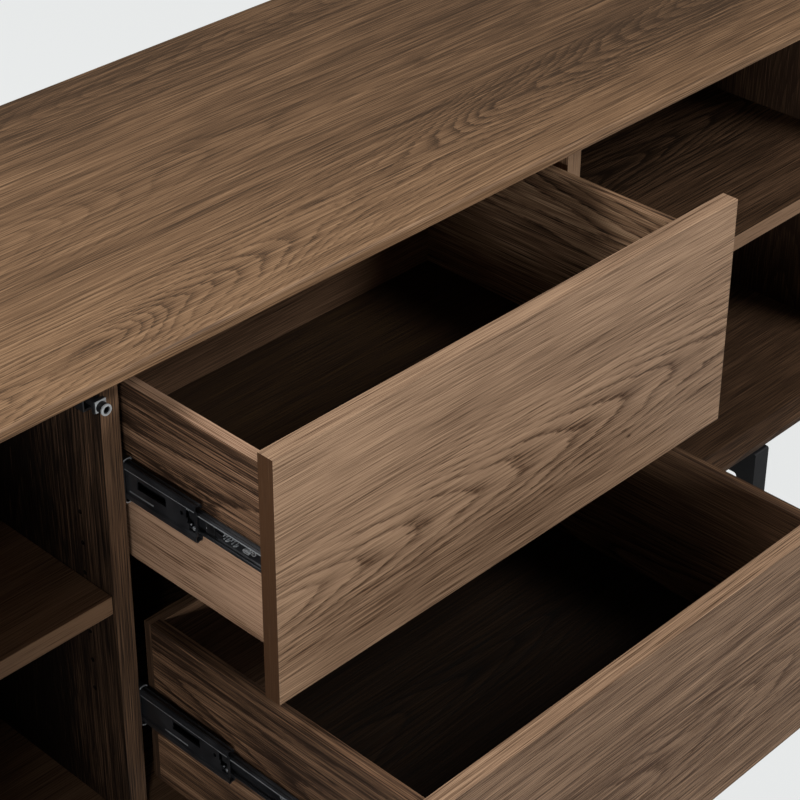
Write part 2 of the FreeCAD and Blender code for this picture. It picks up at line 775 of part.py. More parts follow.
def leg_frame(label, middle):
    """Make one hollow frame: a rail from front to back, a leg at each end and a fixing plate."""
    body = new_body(label)
    side = new_sketch(body, "YZ_Plane")
    outline(side, [
        ("0", "leg_foot_z"),
        ("leg_depth", "leg_foot_z"),
        ("leg_depth", "-plate_thickness - rail_height"),
        ("frame_depth - leg_depth", "-plate_thickness - rail_height"),
        ("frame_depth - leg_depth", "leg_foot_z"),
        ("frame_depth", "leg_foot_z"),
        ("frame_depth", "-plate_thickness"),
        ("0", "-plate_thickness"),
    ])
    tube = pad(body, side, "leg_width")
    doc.recompute()
    rail_z = -sheet.plate_thickness - sheet.rail_height
    inner_faces = (sheet.leg_depth, sheet.frame_depth - sheet.leg_depth)
    inner = round_edges(body, tube, "leg_inner_round",
                        lambda point: near(point.z, rail_z) and near(point.y, *inner_faces))
    top_z = -sheet.plate_thickness
    round_edges(body, inner, "leg_outer_round",
                lambda point: near(point.z, top_z) and near(point.y, 0, sheet.frame_depth))
    bore = new_sketch(body, "YZ_Plane", "tube_wall")
    outline(bore, [
        ("tube_wall", "leg_foot_z"),
        ("leg_depth - tube_wall", "leg_foot_z"),
        ("leg_depth - tube_wall", "tube_wall - plate_thickness - rail_height"),
        ("frame_depth - leg_depth + tube_wall", "tube_wall - plate_thickness - rail_height"),
        ("frame_depth - leg_depth + tube_wall", "leg_foot_z"),
        ("frame_depth - tube_wall", "leg_foot_z"),
        ("frame_depth - tube_wall", "-plate_thickness - tube_wall - leg_outer_round"),
        ("frame_depth - tube_wall - leg_outer_round", "-plate_thickness - tube_wall"),
        ("tube_wall + leg_outer_round", "-plate_thickness - tube_wall"),
        ("tube_wall", "-plate_thickness - tube_wall - leg_outer_round"),
    ])
    pocket(body, bore, "leg_width - 2 * tube_wall")
    plate = new_sketch(body, "XY_Plane", "-plate_thickness")
    rectangle(plate, "leg_width / 2 - plate_width / 2", "plate_inset", "plate_width",
              "frame_depth - 2 * plate_inset")
    pad(body, plate, "plate_thickness")
    holes = new_sketch(body, "XY_Plane", "-plate_thickness")
    for across, along in leg_screw_places():
        disc(holes, "leg_width / 2 + " + across, "frame_depth / 2 + " + along,
             "leg_screw_radius + screw_ease")
    pocket(body, holes, "plate_thickness")
    place(body, middle + " - leg_width / 2", "land_y", "0")


def glide(middle, front):
    """Make one glide: a foot under a leg with a plug up inside the tube."""
    foot = box(middle + " - leg_width / 2", front, "-base_height", "leg_width", "leg_depth",
               "glide_thickness")
    ease = "tube_wall + glide_ease"
    plug = box("%s - leg_width / 2 + %s" % (middle, ease), "%s + %s" % (front, ease), "leg_foot_z",
               "leg_width - 2 * (%s)" % ease, "leg_depth - 2 * (%s)" % ease, "glide_plug")
    return join([foot, plug])


def build_drawer(level):
    """Make the upper or lower drawer with its box, its front and both of its slides."""
    name = level + "_drawer"
    opening = level + "_opening"
    face_y = "(closed_y - %s)" % opening
    front_z = level + "_front_z"
    box_z = level + "_box_z"
    middle_z = level + "_slide_z"
    drawer_front(name, face_y, front_z)
    drawer_side(name + "_left_side", False, face_y, box_z)
    drawer_side(name + "_right_side", True, face_y, box_z)
    drawer_ends(name, face_y, box_z)
    drawer_bottom(name, face_y, box_z)
    drawer_front_screws(name, face_y, box_z)
    inner_screws = []
    levers = []
    for side, wall, sign in (("left", "-bay_width / 2", ""), ("right", "bay_width / 2", "-")):
        title = "%s_%s" % (name, side)
        cabinet_member(title, wall, sign, middle_z)
        middle_member(title, wall, sign, middle_z, "(%s * %s_middle_share)" % (opening, level))
        inner_member(title, wall, sign, middle_z, face_y)
        toward = "-x" if sign == "" else "+x"
        outer = "%s + (%s1) * slide_wall" % (wall, sign)
        inner = "%s + (%s1) * (slide_thickness - slide_wall)" % (wall, sign)
        for along in slide_screw_places():
            cabinet_member_screws.append(flush_screw(outer, "divider_y + " + along, middle_z, toward))
            inner_screws.append(screw(inner, "%s + %s" % (face_y, along), middle_z, OPPOSITE[toward],
                                      "slide_screw"))
        levers.append(release_lever(wall, sign, middle_z, face_y))
    group(name + "_drawer_member_screws", inner_screws)
    group(name + "_release_levers", levers)


def drawer_front(name, face_y, front_z):
    """Make the drawer front with pilot holes in its back."""
    body = new_body(name + "_front")
    face = new_sketch(body, "XZ_Plane")
    rectangle(face, "0", "0", "front_width", "front_height")
    board = pad(body, face, "front_thickness", forward=False)
    thickness = sheet.front_thickness
    round_edges(body, board, "front_edge_round", lambda point: near(point.y, -thickness))
    holes = new_sketch(body, "XZ_Plane")
    for across, up in front_screw_places():
        disc(holes, "front_overlay + slide_thickness + side_thickness + " + across,
             "box_rise + " + up, "front_screw_radius + screw_ease")
    pocket(body, holes, "front_screw_bite + screw_ease", forward=False)
    place(body, "-front_width / 2", face_y, front_z)


def front_screw_places():
    """List the screws of a drawer front from the low inner corner of its box."""
    across = ("front_screw_inset", "box_inner_width - front_screw_inset")
    up = ("front_screw_edge", "box_height - front_screw_edge")
    return [(a, b) for a in across for b in up]


def drawer_front_screws(name, face_y, box_z):
    """Make the screws from inside the box into the drawer front."""
    screws = []
    for across, up in front_screw_places():
        x = "-box_inner_width / 2 + " + across
        z = "%s + %s" % (box_z, up)
        shank = rod(x, face_y + " + side_thickness", z, "front_screw_radius",
                    "front_screw_bite + side_thickness", "-y")
        head = rod(x, face_y + " + side_thickness", z, "front_screw_head_radius",
                   "front_screw_head_height", "+y")
        screws.append(join([shank, head]))
    group(name + "_front_screws", screws)


def drawer_side(label, on_right, face_y, box_z):
    """Make one side of a drawer box, grooved for the bottom."""
    body = new_body(label)
    section = new_sketch(body, "XZ_Plane")
    inner = "0" if on_right else "side_thickness"
    seat = "groove_depth" if on_right else "side_thickness - groove_depth"
    outer = "side_thickness" if on_right else "0"
    groove_top = "bottom_rise + bottom_thickness + groove_ease"
    outline(section, [
        (outer, "0"),
        (inner, "0"),
        (inner, "bottom_rise - groove_ease"),
        (seat, "bottom_rise - groove_ease"),
        (seat, groove_top),
        (inner, groove_top),
        (inner, "box_height"),
        (outer, "box_height"),
    ])
    pad(body, section, "side_length")
    pilots = new_sketch(body, "YZ_Plane", "side_thickness" if on_right else "0")
    for along in slide_screw_places():
        disc(pilots, along, "box_height / 2", "slide_screw_radius + screw_ease")
    pocket(body, pilots, "slide_screw_length + screw_ease", forward=not on_right)
    across = "box_inner_width / 2" if on_right else "-box_width / 2"
    place(body, across, face_y, box_z)


def drawer_ends(name, face_y, box_z):
    """Make the inner front between the sides and the back that laps over their ends."""
    inner = new_body(name + "_inner_front")
    section = new_sketch(inner, "YZ_Plane")
    groove_top = "bottom_rise + bottom_thickness + groove_ease"
    outline(section, [
        ("0", "0"),
        ("side_thickness", "0"),
        ("side_thickness", "bottom_rise - groove_ease"),
        ("side_thickness - groove_depth", "bottom_rise - groove_ease"),
        ("side_thickness - groove_depth", groove_top),
        ("side_thickness", groove_top),
        ("side_thickness", "box_height"),
        ("0", "box_height"),
    ])
    pad(inner, section, "box_inner_width")
    holes = new_sketch(inner, "XZ_Plane")
    for across, up in front_screw_places():
        disc(holes, across, up, "front_screw_radius + screw_ease")
    pocket(inner, holes, "side_thickness")
    place(inner, "-box_inner_width / 2", face_y, box_z)
    back = new_body(name + "_back")
    plan = new_sketch(back, "XY_Plane")
    outline(plan, [
        ("-box_inner_width / 2", "box_length - side_thickness"),
        ("box_inner_width / 2", "box_length - side_thickness"),
        ("box_inner_width / 2", "box_length - box_back_lip"),
        ("box_width / 2", "box_length - box_back_lip"),
        ("box_width / 2", "box_length"),
        ("-box_width / 2", "box_length"),
        ("-box_width / 2", "box_length - box_back_lip"),
        ("-box_inner_width / 2", "box_length - box_back_lip"),
    ])
    pad(back, plan, "box_height")
    groove = new_sketch(back, "YZ_Plane", "-box_inner_width / 2 - groove_depth")
    rectangle(groove, "box_length - side_thickness", "bottom_rise - groove_ease", "groove_depth",
              "bottom_thickness + 2 * groove_ease")
    pocket(back, groove, "box_inner_width + 2 * groove_depth")
    place(back, "0", face_y, box_z)


def drawer_bottom(name, face_y, box_z):
    """Make the drawer bottom that sits in the grooves of all four walls."""
    body = new_body(name + "_bottom")
    plan = new_sketch(body, "XY_Plane")
    reach = "(groove_depth - groove_ease)"
    rectangle(plan, "-box_inner_width / 2 - " + reach, "side_thickness - " + reach,
              "box_inner_width + 2 * " + reach, "box_length - 2 * side_thickness + 2 * " + reach)
    pad(body, plan, "bottom_thickness")
    place(body, "0", face_y, box_z + " + bottom_rise")


def slide_screw_places():
    """List the distances of a slide's screws behind its front end."""
    return ("slide_screw_front", "slide_length / 2", "slide_length - slide_screw_front")


def channel(sketch, sign, web, reach, half, wall, lip):
    """Draw a lipped channel whose web stands at one distance and whose flanges reach another."""
    inside = "(%s) + (%s)" % (web, wall)
    before = "(%s) - (%s)" % (reach, wall)
    points = [
        (web, "-(%s)" % half), (reach, "-(%s)" % half), (reach, "(%s) - (%s)" % (lip, half)),
        (before, "(%s) - (%s)" % (lip, half)), (before, "(%s) - (%s)" % (wall, half)),
        (inside, "(%s) - (%s)" % (wall, half)), (inside, "(%s) - (%s)" % (half, wall)),
        (before, "(%s) - (%s)" % (half, wall)), (before, "(%s) - (%s)" % (half, lip)),
        (reach, "(%s) - (%s)" % (half, lip)), (reach, half), (web, half),
    ]
    outline(sketch, [("(%s1) * (%s)" % (sign, across), up) for across, up in points])


def cabinet_member(title, wall, sign, middle_z):
    """Make the fixed member of a slide, a lipped channel screwed to the divider."""
    body = new_body(title + "_cabinet_member")
    section = new_sketch(body, "XZ_Plane")
    lip = "((slide_height - middle_height) / 2 - slide_running_gap)"
    channel(section, sign, "0", "slide_flange", "slide_height / 2", "slide_wall", lip)
    pad(body, section, "slide_length")
    holes = new_sketch(body, "YZ_Plane")
    for along in slide_screw_places():
        disc(holes, along, "0", "slide_screw_head_radius + screw_ease")
    pocket(body, holes, "slide_wall", forward=sign == "")
    place(body, wall, "divider_y", middle_z)


def middle_member(title, wall, sign, middle_z, travel):
    """Make the floating member of a slide with its slot, rivet hole and front notch."""
    body = new_body(title + "_middle_member")
    section = new_sketch(body, "XZ_Plane")
    lip = "((middle_height - inner_member_height) / 2 - slide_running_gap)"
    web = "(slide_wall + slide_running_gap)"
    channel(section, sign, web, "slide_flange", "middle_height / 2", "slide_wall", lip)
    pad(body, section, "slide_length")
    cuts = new_sketch(body, "YZ_Plane")
    rectangle(cuts, "slot_inset", "-slot_height / 2", "slot_length", "slot_height")
    disc(cuts, "rivet_hole_inset", "0", "rivet_hole_radius")
    rectangle(cuts, "latch_notch_inset", "-latch_notch_height / 2", "latch_notch_length",
              "latch_notch_height")
    pocket(body, cuts, web + " + slide_wall", forward=sign == "")
    place(body, wall, "divider_y - " + travel, middle_z)


def inner_member(title, wall, sign, middle_z, face_y):
    """Make the drawer member of a slide, screwed to the side of the box."""
    body = new_body(title + "_drawer_member")
    section = new_sketch(body, "XZ_Plane")
    half = "(inner_member_height / 2)"
    tip = "(slide_thickness - inner_member_flange)"
    inside = "(slide_thickness - slide_wall)"
    points = [
        ("slide_thickness", "-" + half), (tip, "-" + half), (tip, "slide_wall - " + half),
        (inside, "slide_wall - " + half), (inside, half + " - slide_wall"),
        (tip, half + " - slide_wall"), (tip, half), ("slide_thickness", half),
    ]
    outline(section, [("(%s1) * (%s)" % (sign, across), up) for across, up in points])
    pad(body, section, "slide_length")
    holes = new_sketch(body, "YZ_Plane", "(%s1) * %s" % (sign, inside))
    for along in slide_screw_places():
        disc(holes, along, "0", "slide_screw_radius + screw_ease")
    pocket(body, holes, "slide_wall", forward=sign == "")
    place(body, wall, face_y, middle_z)


def flush_screw(x, y, z, toward):
    """Make a screw whose flat head fills its hole in the web and whose shank enters the board."""
    head = rod(x, y, z, "slide_screw_head_radius", "slide_wall", toward)
    shank = rod(x, y, z, "slide_screw_radius", "slide_wall + slide_screw_length", toward)
    return join([head, shank])


def release_lever(wall, sign, middle_z, face_y):
    """Make the moulded lever that lets the drawer member out of its slide."""
    inside = "(slide_thickness - slide_wall)"
    if sign == "":
        across = "%s + %s - lever_thickness" % (wall, inside)
    else:
        across = "%s - %s" % (wall, inside)
    lever_z = "%s - inner_member_height / 2 + slide_wall" % middle_z
    return box(across, face_y + " + lever_inset", lever_z, "lever_thickness", "lever_length",
               "inner_member_height - 2 * slide_wall")


def build_door():
    """Make the door in its open place, with its hinge cups, pins and strike plate."""
    body = new_body("door")
    face = new_sketch(body, "XZ_Plane", "pivot_depth")
    rectangle(face, "-pivot_inset", "0", "door_width", "door_height")
    board = pad(body, face, "front_thickness", forward=False)
    doc.recompute()
    front = sheet.pivot_depth - sheet.front_thickness
    round_edges(body, board, "front_edge_round", lambda point: near(point.y, front))
    bores = new_sketch(body, "XZ_Plane", "pivot_depth")
    for level in ("hinge_inset", "door_height - hinge_inset"):
        disc(bores, "cup_x", level, "cup_radius + cup_ease")
    pocket(body, bores, "cup_depth + cup_ease", forward=False)
    pilots = new_sketch(body, "XZ_Plane", "pivot_depth")
    for level in ("hinge_inset", "door_height - hinge_inset"):
        for step in ("-", "+"):
            disc(pilots, "cup_x", "%s %s cup_screw_spacing / 2" % (level, step),
                 "hinge_screw_radius + screw_ease")
    disc(pilots, "latch_x - hinge_x", "latch_z - door_z", "strike_screw_radius + screw_ease")
    pocket(body, pilots, "hinge_screw_length - cup_flange_thickness + screw_ease", forward=False)
    open_door(body, "door_z")
    cups = []
    pins = []
    for level in ("hinge_inset", "door_height - hinge_inset"):
        cups.append(hinge_cup(level))
        pins.append(rod("0", "0", level + " - ear_inner - ear_thickness", "hinge_pin_radius",
                        "2 * (ear_inner + ear_thickness)"))
        for step in ("-", "+"):
            height = "%s %s cup_screw_spacing / 2" % (level, step)
            door_screws.append(screw("cup_x", "pivot_depth + cup_flange_thickness", height, "-y",
                                     "hinge_screw"))
    open_door(group("hinge_cups", cups), "door_z")
    open_door(group("hinge_pins", pins), "door_z")
    x = "latch_x - hinge_x"
    z = "latch_z - door_z"
    plate = rod(x, "pivot_depth", z, "strike_radius", "strike_thickness", "+y")
    hole = rod(x, "pivot_depth - overrun", z, "strike_screw_head_radius + screw_ease",
               "strike_thickness + 2 * overrun", "+y")
    strike = keep(less(plate, hole), "strike_plate")
    open_door(strike, "door_z")
    head = rod(x, "pivot_depth", z, "strike_screw_head_radius", "strike_screw_head_height", "+y")
    shank = rod(x, "pivot_depth", z, "strike_screw_radius", "strike_screw_length", "-y")
    door_screws.append(join([head, shank]))
    open_door(group("door_screws", door_screws), "door_z")


def open_door(thing, level):
    """Swing a piece that is modelled about the hinge pin to the open door's place."""
    return place(thing, "hinge_x", "hinge_y", level, Vector(0, 0, -1), "door_open_angle")


def hinge_cup(level):
    """Make one hinge cup with its flange and the two ears that hold its pin."""
    rim = "pivot_depth - cup_depth"
    cup = rod("cup_x", rim, level, "cup_radius", "cup_depth", "+y")
    flange = box("cup_x - cup_flange_width / 2", "pivot_depth", level + " - cup_flange_height / 2",
                 "cup_flange_width", "cup_flange_thickness", "cup_flange_height")
    collar = rod("cup_x", "pivot_depth", level, "cup_radius + cup_flange_thickness",
                 "cup_flange_thickness", "+y")
    holes = [rod("cup_x", rim + " + cup_wall", level, "cup_radius - cup_wall",
                 "cup_depth + cup_flange_thickness + overrun", "+y")]
    for step in ("-", "+"):
        height = "%s %s cup_screw_spacing / 2" % (level, step)
        holes.append(rod("cup_x", "pivot_depth - overrun", height, "hinge_screw_radius + screw_ease",
                         "cup_flange_thickness + 2 * overrun", "+y"))
    shell = less(join([cup, flange, collar]), join(holes))
    ears = []
    for start in (" - ear_inner - ear_thickness", " + ear_inner"):
        ears.append(box("-ear_near", rim + " + cup_wall / 2", level + start, "ear_near + ear_far",
                        "ear_rise - (%s) - cup_wall / 2" % rim, "ear_thickness"))
    cross = rod("0", "0", level + " - cup_radius", "hinge_pin_radius + hinge_running_gap",
                "2 * cup_radius")
    return less(join([shell] + ears), cross)


def build_hinge_arms():
    """Make the hinge arms with their knuckles, their plates and the plates' screws."""
    arms = []
    for label, level in (("lower_hinge_arm", "lower_hinge_z"), ("upper_hinge_arm", "upper_hinge_z")):
        body = doc.addObject("PartDesign::Body", label)
        arms.append(body)
        path = new_sketch(body, "XY_Plane")
        rest = "-pivot_inset - door_gap + hinge_plate_thickness + arm_thickness / 2"
        open_path(path, [
            (rest, "hinge_plate_start + hinge_plate_length"),
            (rest, "arm_second_back"),
            ("arm_second_across", "arm_second_back"),
            ("arm_first_across", "-arm_drop"),
            ("0", "-arm_drop"),
        ])
        section = new_sketch(body, "XZ_Plane", "hinge_plate_start + hinge_plate_length")
        rectangle(section, rest + " - arm_thickness / 2", "-arm_width / 2", "arm_thickness", "arm_width")
        strip = body.newObject("PartDesign::AdditivePipe", body.Name + "_strip")
        strip.Profile = section
        strip.Spine = path
        strip.Transition = "Right corner"
        knuckle = new_sketch(body, "XY_Plane", "-arm_width / 2")
        disc(knuckle, "0", "0", "knuckle_radius")
        pad(body, knuckle, "arm_width")
        bore = new_sketch(body, "XY_Plane", "-arm_width / 2")
        disc(bore, "0", "0", "hinge_pin_radius + hinge_running_gap")
        pocket(body, bore, "arm_width")
        place(body, "hinge_x", "hinge_y", level)
    group("hinge_arms", arms)
    plates = []
    for level in ("lower_hinge_z", "upper_hinge_z"):
        slab = box("left_wall_x", "hinge_y + hinge_plate_start", level + " - hinge_plate_height / 2",
                   "hinge_plate_thickness", "hinge_plate_length", "hinge_plate_height")
        holes = []
        for step in ("-", "+"):
            height = "%s %s hinge_screw_spacing / 2" % (level, step)
            along = "hinge_y + hinge_plate_start + hinge_plate_length / 2"
            holes.append(rod("left_wall_x - overrun", along, height, "hinge_screw_radius + screw_ease",
                             "hinge_plate_thickness + 2 * overrun", "+x"))
            fitting_screws.append(screw("left_wall_x + hinge_plate_thickness", along, height, "-x",
                                        "hinge_screw"))
        plates.append(less(slab, join(holes)))
    group("hinge_plates", plates)


def build_latch():
    """Make the push latch: its body on the divider and the nose that the door pushes in."""
    body = new_body("latch_body")
    section = new_sketch(body, "XZ_Plane")
    left = "latch_side - latch_body_width"
    rectangle(section, left, "-latch_body_height / 2", "latch_body_width", "latch_body_height")
    pad(body, section, "latch_body_length")
    square = new_sketch(body, "XZ_Plane")
    half = "(latch_collar / 2 + latch_ease)"
    rectangle(square, "-" + half, "-" + half, "2 * " + half, "2 * " + half)
    pocket(body, square, "latch_collar_sink + latch_ease")
    bore = new_sketch(body, "XZ_Plane")
    disc(bore, "0", "0", "latch_stem_radius + latch_ease")
    pocket(body, bore, "latch_stem_sink + latch_ease")
    hole = new_sketch(body, "YZ_Plane", "latch_side - latch_body_width")
    disc(hole, "latch_body_length - latch_screw_end", "0", "latch_screw_radius + screw_ease")
    pocket(body, hole, "latch_body_width", forward=True)
    place(body, "latch_x", "divider_y + latch_body_start", "latch_z")
    outer = "latch_x + latch_side - latch_body_width"
    shank = rod(outer, "latch_screw_y", "latch_z", "latch_screw_radius",
                "latch_body_width + latch_screw_length", "+x")
    head = rod(outer, "latch_screw_y", "latch_z", "latch_screw_head_radius", "latch_screw_head_height",
               "-x")
    fitting_screws.append(join([shank, head]))
    nose = new_body("latch_nose")
    collar = new_sketch(nose, "XZ_Plane", "latch_nose")
    rectangle(collar, "-latch_collar / 2", "-latch_collar / 2", "latch_collar", "latch_collar")
    pad(nose, collar, "latch_collar_length")
    tip = new_sketch(nose, "XZ_Plane", "latch_ring_length")
    disc(tip, "0", "0", "latch_nose_radius")
    pad(nose, tip, "latch_nose - latch_ring_length")
    stem = new_sketch(nose, "XZ_Plane", "latch_nose + latch_collar_length")
    disc(stem, "0", "0", "latch_stem_radius")
    pad(nose, stem, "latch_stem_length")
    place(nose, "latch_x", "divider_y - latch_reach", "latch_z")
    ring_start = "divider_y - latch_reach"
    ring = rod("latch_x", ring_start, "latch_z", "latch_ring_radius", "latch_ring_length", "+y")
    seat = rod("latch_x", ring_start + " - overrun", "latch_z", "latch_magnet_radius",
               "latch_magnet_depth + overrun", "+y")
    keep(less(ring, seat), "latch_ring")
    keep(rod("latch_x", ring_start + " + latch_magnet_sink", "latch_z", "latch_magnet_radius",
             "latch_magnet_depth - latch_magnet_sink", "+y"), "latch_magnet")


def write_parts():
    """Check every object and sub-part, then write each sub-part to its own file."""
    doc.recompute()
    for thing in doc.Objects:
        bad = [word for word in thing.State if word in ("Invalid", "Error")]
        if bad:
            raise RuntimeError("%s (%s) is %s" % (thing.Label, thing.Name, bad))
        if thing.TypeId in ("PartDesign::Pocket", "PartDesign::LinearPattern"):
            if thing.Shape.Volume > thing.BaseFeature.Shape.Volume - 1e-3:
                raise RuntimeError("%s cuts nothing" % thing.Name)
    os.makedirs("parts", exist_ok=True)
    for part in parts:
        shape = part.Shape
        if shape.isNull() or not shape.isValid() or not shape.Solids:
            raise RuntimeError("%s has no valid shape" % part.Label)
        shape.exportStep("parts/%s.step" % part.Label)
    print("%d sub-parts, %d solids" % (len(parts), sum(len(part.Shape.Solids) for part in parts)))


fill_sheet()
build_case()
build_shelves()
build_legs()
build_drawer("upper")
build_drawer("lower")
build_door()
build_hinge_arms()
build_latch()
group("cabinet_member_screws", cabinet_member_screws)
group("fitting_screws", fitting_screws)
write_parts()
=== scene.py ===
"""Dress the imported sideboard: finishes, slide and latch details, the room and the camera."""

from __future__ import annotations

import logging
import math
from dataclasses import dataclass, field
from enum import Enum
from typing import Any, Callable, Iterable, Sequence

import bmesh
import bpy
from mathutils import Matrix, Vector

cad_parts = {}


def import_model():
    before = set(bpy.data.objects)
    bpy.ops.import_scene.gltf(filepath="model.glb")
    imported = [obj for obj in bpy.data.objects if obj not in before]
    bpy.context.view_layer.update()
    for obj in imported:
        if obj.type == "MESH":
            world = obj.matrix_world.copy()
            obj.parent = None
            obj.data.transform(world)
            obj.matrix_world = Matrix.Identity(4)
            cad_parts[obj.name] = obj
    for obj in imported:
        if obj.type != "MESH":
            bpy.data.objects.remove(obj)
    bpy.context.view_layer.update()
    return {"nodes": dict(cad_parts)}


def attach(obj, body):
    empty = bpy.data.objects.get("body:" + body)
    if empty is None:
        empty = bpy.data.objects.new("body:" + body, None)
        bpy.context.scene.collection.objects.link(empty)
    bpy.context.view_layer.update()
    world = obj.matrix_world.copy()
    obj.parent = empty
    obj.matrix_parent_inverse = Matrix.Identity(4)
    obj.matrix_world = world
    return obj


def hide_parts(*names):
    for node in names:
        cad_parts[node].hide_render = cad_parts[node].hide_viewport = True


LOG = logging.getLogger("sideboard")
MM = 0.001


class Grain(Enum):
    """The direction in which a board's fibres run."""

    LENGTH = "X"
    DEPTH = "Y"
    HEIGHT = "Z"


class Sheen(Enum):
    """How rough a finish is, from 0, a mirror, to 1, chalk."""

    SATIN = 0.38
    EGGSHELL = 0.48
    MATT = 0.62


def linear(code: str) -> tuple[float, float, float, float]:
    """Turn an sRGB hex colour into Blender's linear one.

    Args:
        code: The colour as six hex digits.

    Returns:
        Red, green, blue and an alpha of one.
    """
    parts = [int(code[k:k + 2], 16) / 255 for k in (0, 2, 4)]
    bent = [c / 12.92 if c <= 0.04045 else ((c + 0.055) / 1.055) ** 2.4 for c in parts]
    return bent[0], bent[1], bent[2], 1.0


def add(tree: bpy.types.NodeTree, kind: str, links: dict[Any, Any] | None = None,
        **settings: Any) -> bpy.types.Node:
    """Add a node with its settings, and fill its inputs with values or with other nodes' outputs.

    Args:
        tree: The material's or world's node tree.
        kind: Blender's name of the node type.
        links: Input name or number to a value, or to an output socket to link from.
        **settings: Attributes of the node itself.

    Returns:
        The new node.
    """
    node = tree.nodes.new(kind)
    for name, value in settings.items():
        setattr(node, name, value)
    for key, value in (links or {}).items():
        socket = node.inputs[key]
        if isinstance(value, bpy.types.NodeSocket):
            tree.links.new(value, socket)
        else:
            socket.default_value = value
    return node


def fresh_material(name: str) -> tuple[bpy.types.Material, bpy.types.NodeTree, bpy.types.Node]:
    """Make an empty material with its shader and output.

    Args:
        name: The material's name.

    Returns:
        The material, its node tree and its shader node.
    """
    material = bpy.data.materials.new(name)
    material.use_nodes = True
    tree = material.node_tree
    tree.nodes.clear()
    shader = add(tree, "ShaderNodeBsdfPrincipled")
    add(tree, "ShaderNodeOutputMaterial", {"Surface": shader.outputs["BSDF"]})
    return material, tree, shader


def stops(tree: bpy.types.NodeTree, factor: bpy.types.NodeSocket,
          places: Sequence[tuple[float, str]], smooth: bool = True) -> bpy.types.NodeSocket:
    """Grade a value through a row of colours.

    Args:
        tree: The node tree.
        factor: The value to grade.
        places: Position and hex colour of each stop.
        smooth: Whether the colours ease into each other.

    Returns:
        The graded colour.
    """
    ramp = add(tree, "ShaderNodeValToRGB", {"Fac": factor})
    ramp.color_ramp.interpolation = "EASE" if smooth else "LINEAR"
    row = ramp.color_ramp.elements
    while len(row) < len(places):
        row.new(0.5)
    for element, (position, code) in zip(row, places):
        element.position = position
        element.color = linear(code)
    return ramp.outputs["Color"]


@dataclass(frozen=True)
class Leaf:
    """One leaf of veneer: where its heart line runs, and how its growth rings lie.

    Lengths are in millimetres. The seam is where the leaf starts across the board.
    """

    seam: float
    heart: float
    depth: float = 70.0
    taper: float = 0.045
    lean: float = 0.0
    ragged: float = 0.8
    swell: float = 6.0
    tone: float = 0.0
    bold: float = 1.0


@dataclass(frozen=True)
class Swirl:
    """A soft oval patch of a board, by its middle, its half sizes and its strength."""

    along: float
    across: float
    length: float
    width: float
    amount: float


# a board's ends, edges and hole walls are told from its faces by the way that they look
END_NORMAL = 0.8
EDGE_NORMAL = 0.6
HOLE_WALL_NORMAL = 0.7
# where the support holes lie across and along a board: middle and half of each stretch, in mm
HOLE_STRETCHES = ((15.0, 180.0), (262.0, 232.0))

# the sizes of the wood's marks along, across and through a board, in mm; the pores and fibres are
# drawn coarser than in real oak, at 0.6 mm across, because finer ones don't show in the render
FIBRE_PITCH = (90.0, 0.66, 4.0)
PORE_PITCH = (38.0, 0.6, 3.0)
CLOUD_PITCH = (380.0, 32.0, 60.0)
STREAK_PITCH = (700.0, 7.0, 20.0)
BOLD_PITCH = (160.0, 40.0, 60.0)
SWAY_PITCH = (300.0, 150.0, 150.0)
SWELL_PITCH = (140.0, 34.0, 60.0)
RAGGED_PITCH = (10.0, 2.0, 5.0)

SWAY = 18.0  # mm by which the heart line wanders
CROWN_NEAR, CROWN_FAR, CROWN_FAINT = 30.0, 85.0, 0.35  # how the rings fade beside the heart line
LEAF_SHIFT = 137.0  # mm by which each next leaf's marks are moved along
SEAM_HALF, SEAM_TONE = 0.6, 0.3  # the fine dark joint between two leaves
KNOT = (3.0, 1.3, 0.9)  # a small knot's half length, half width and darkness
FIBRE_WEIGHT, CLOUD_WEIGHT, STREAK_WEIGHT = 2.1, 0.55, 0.5
PORE_FROM, PORE_FULL = 0.47, 0.68  # the noise at which a pore begins, and where it is darkest
PALE_SUM = 1.32  # the sum of the marks at which the wood has its pale colour
LACQUER_SHINE = 0.18
PORE_ROUGHNESS = 0.8
GRAIN_BUMP = 0.0006  # m of height between the top and the bottom of the wood's relief
WHOLE_SEAM = -900.0  # where a leaf starts that covers its whole board


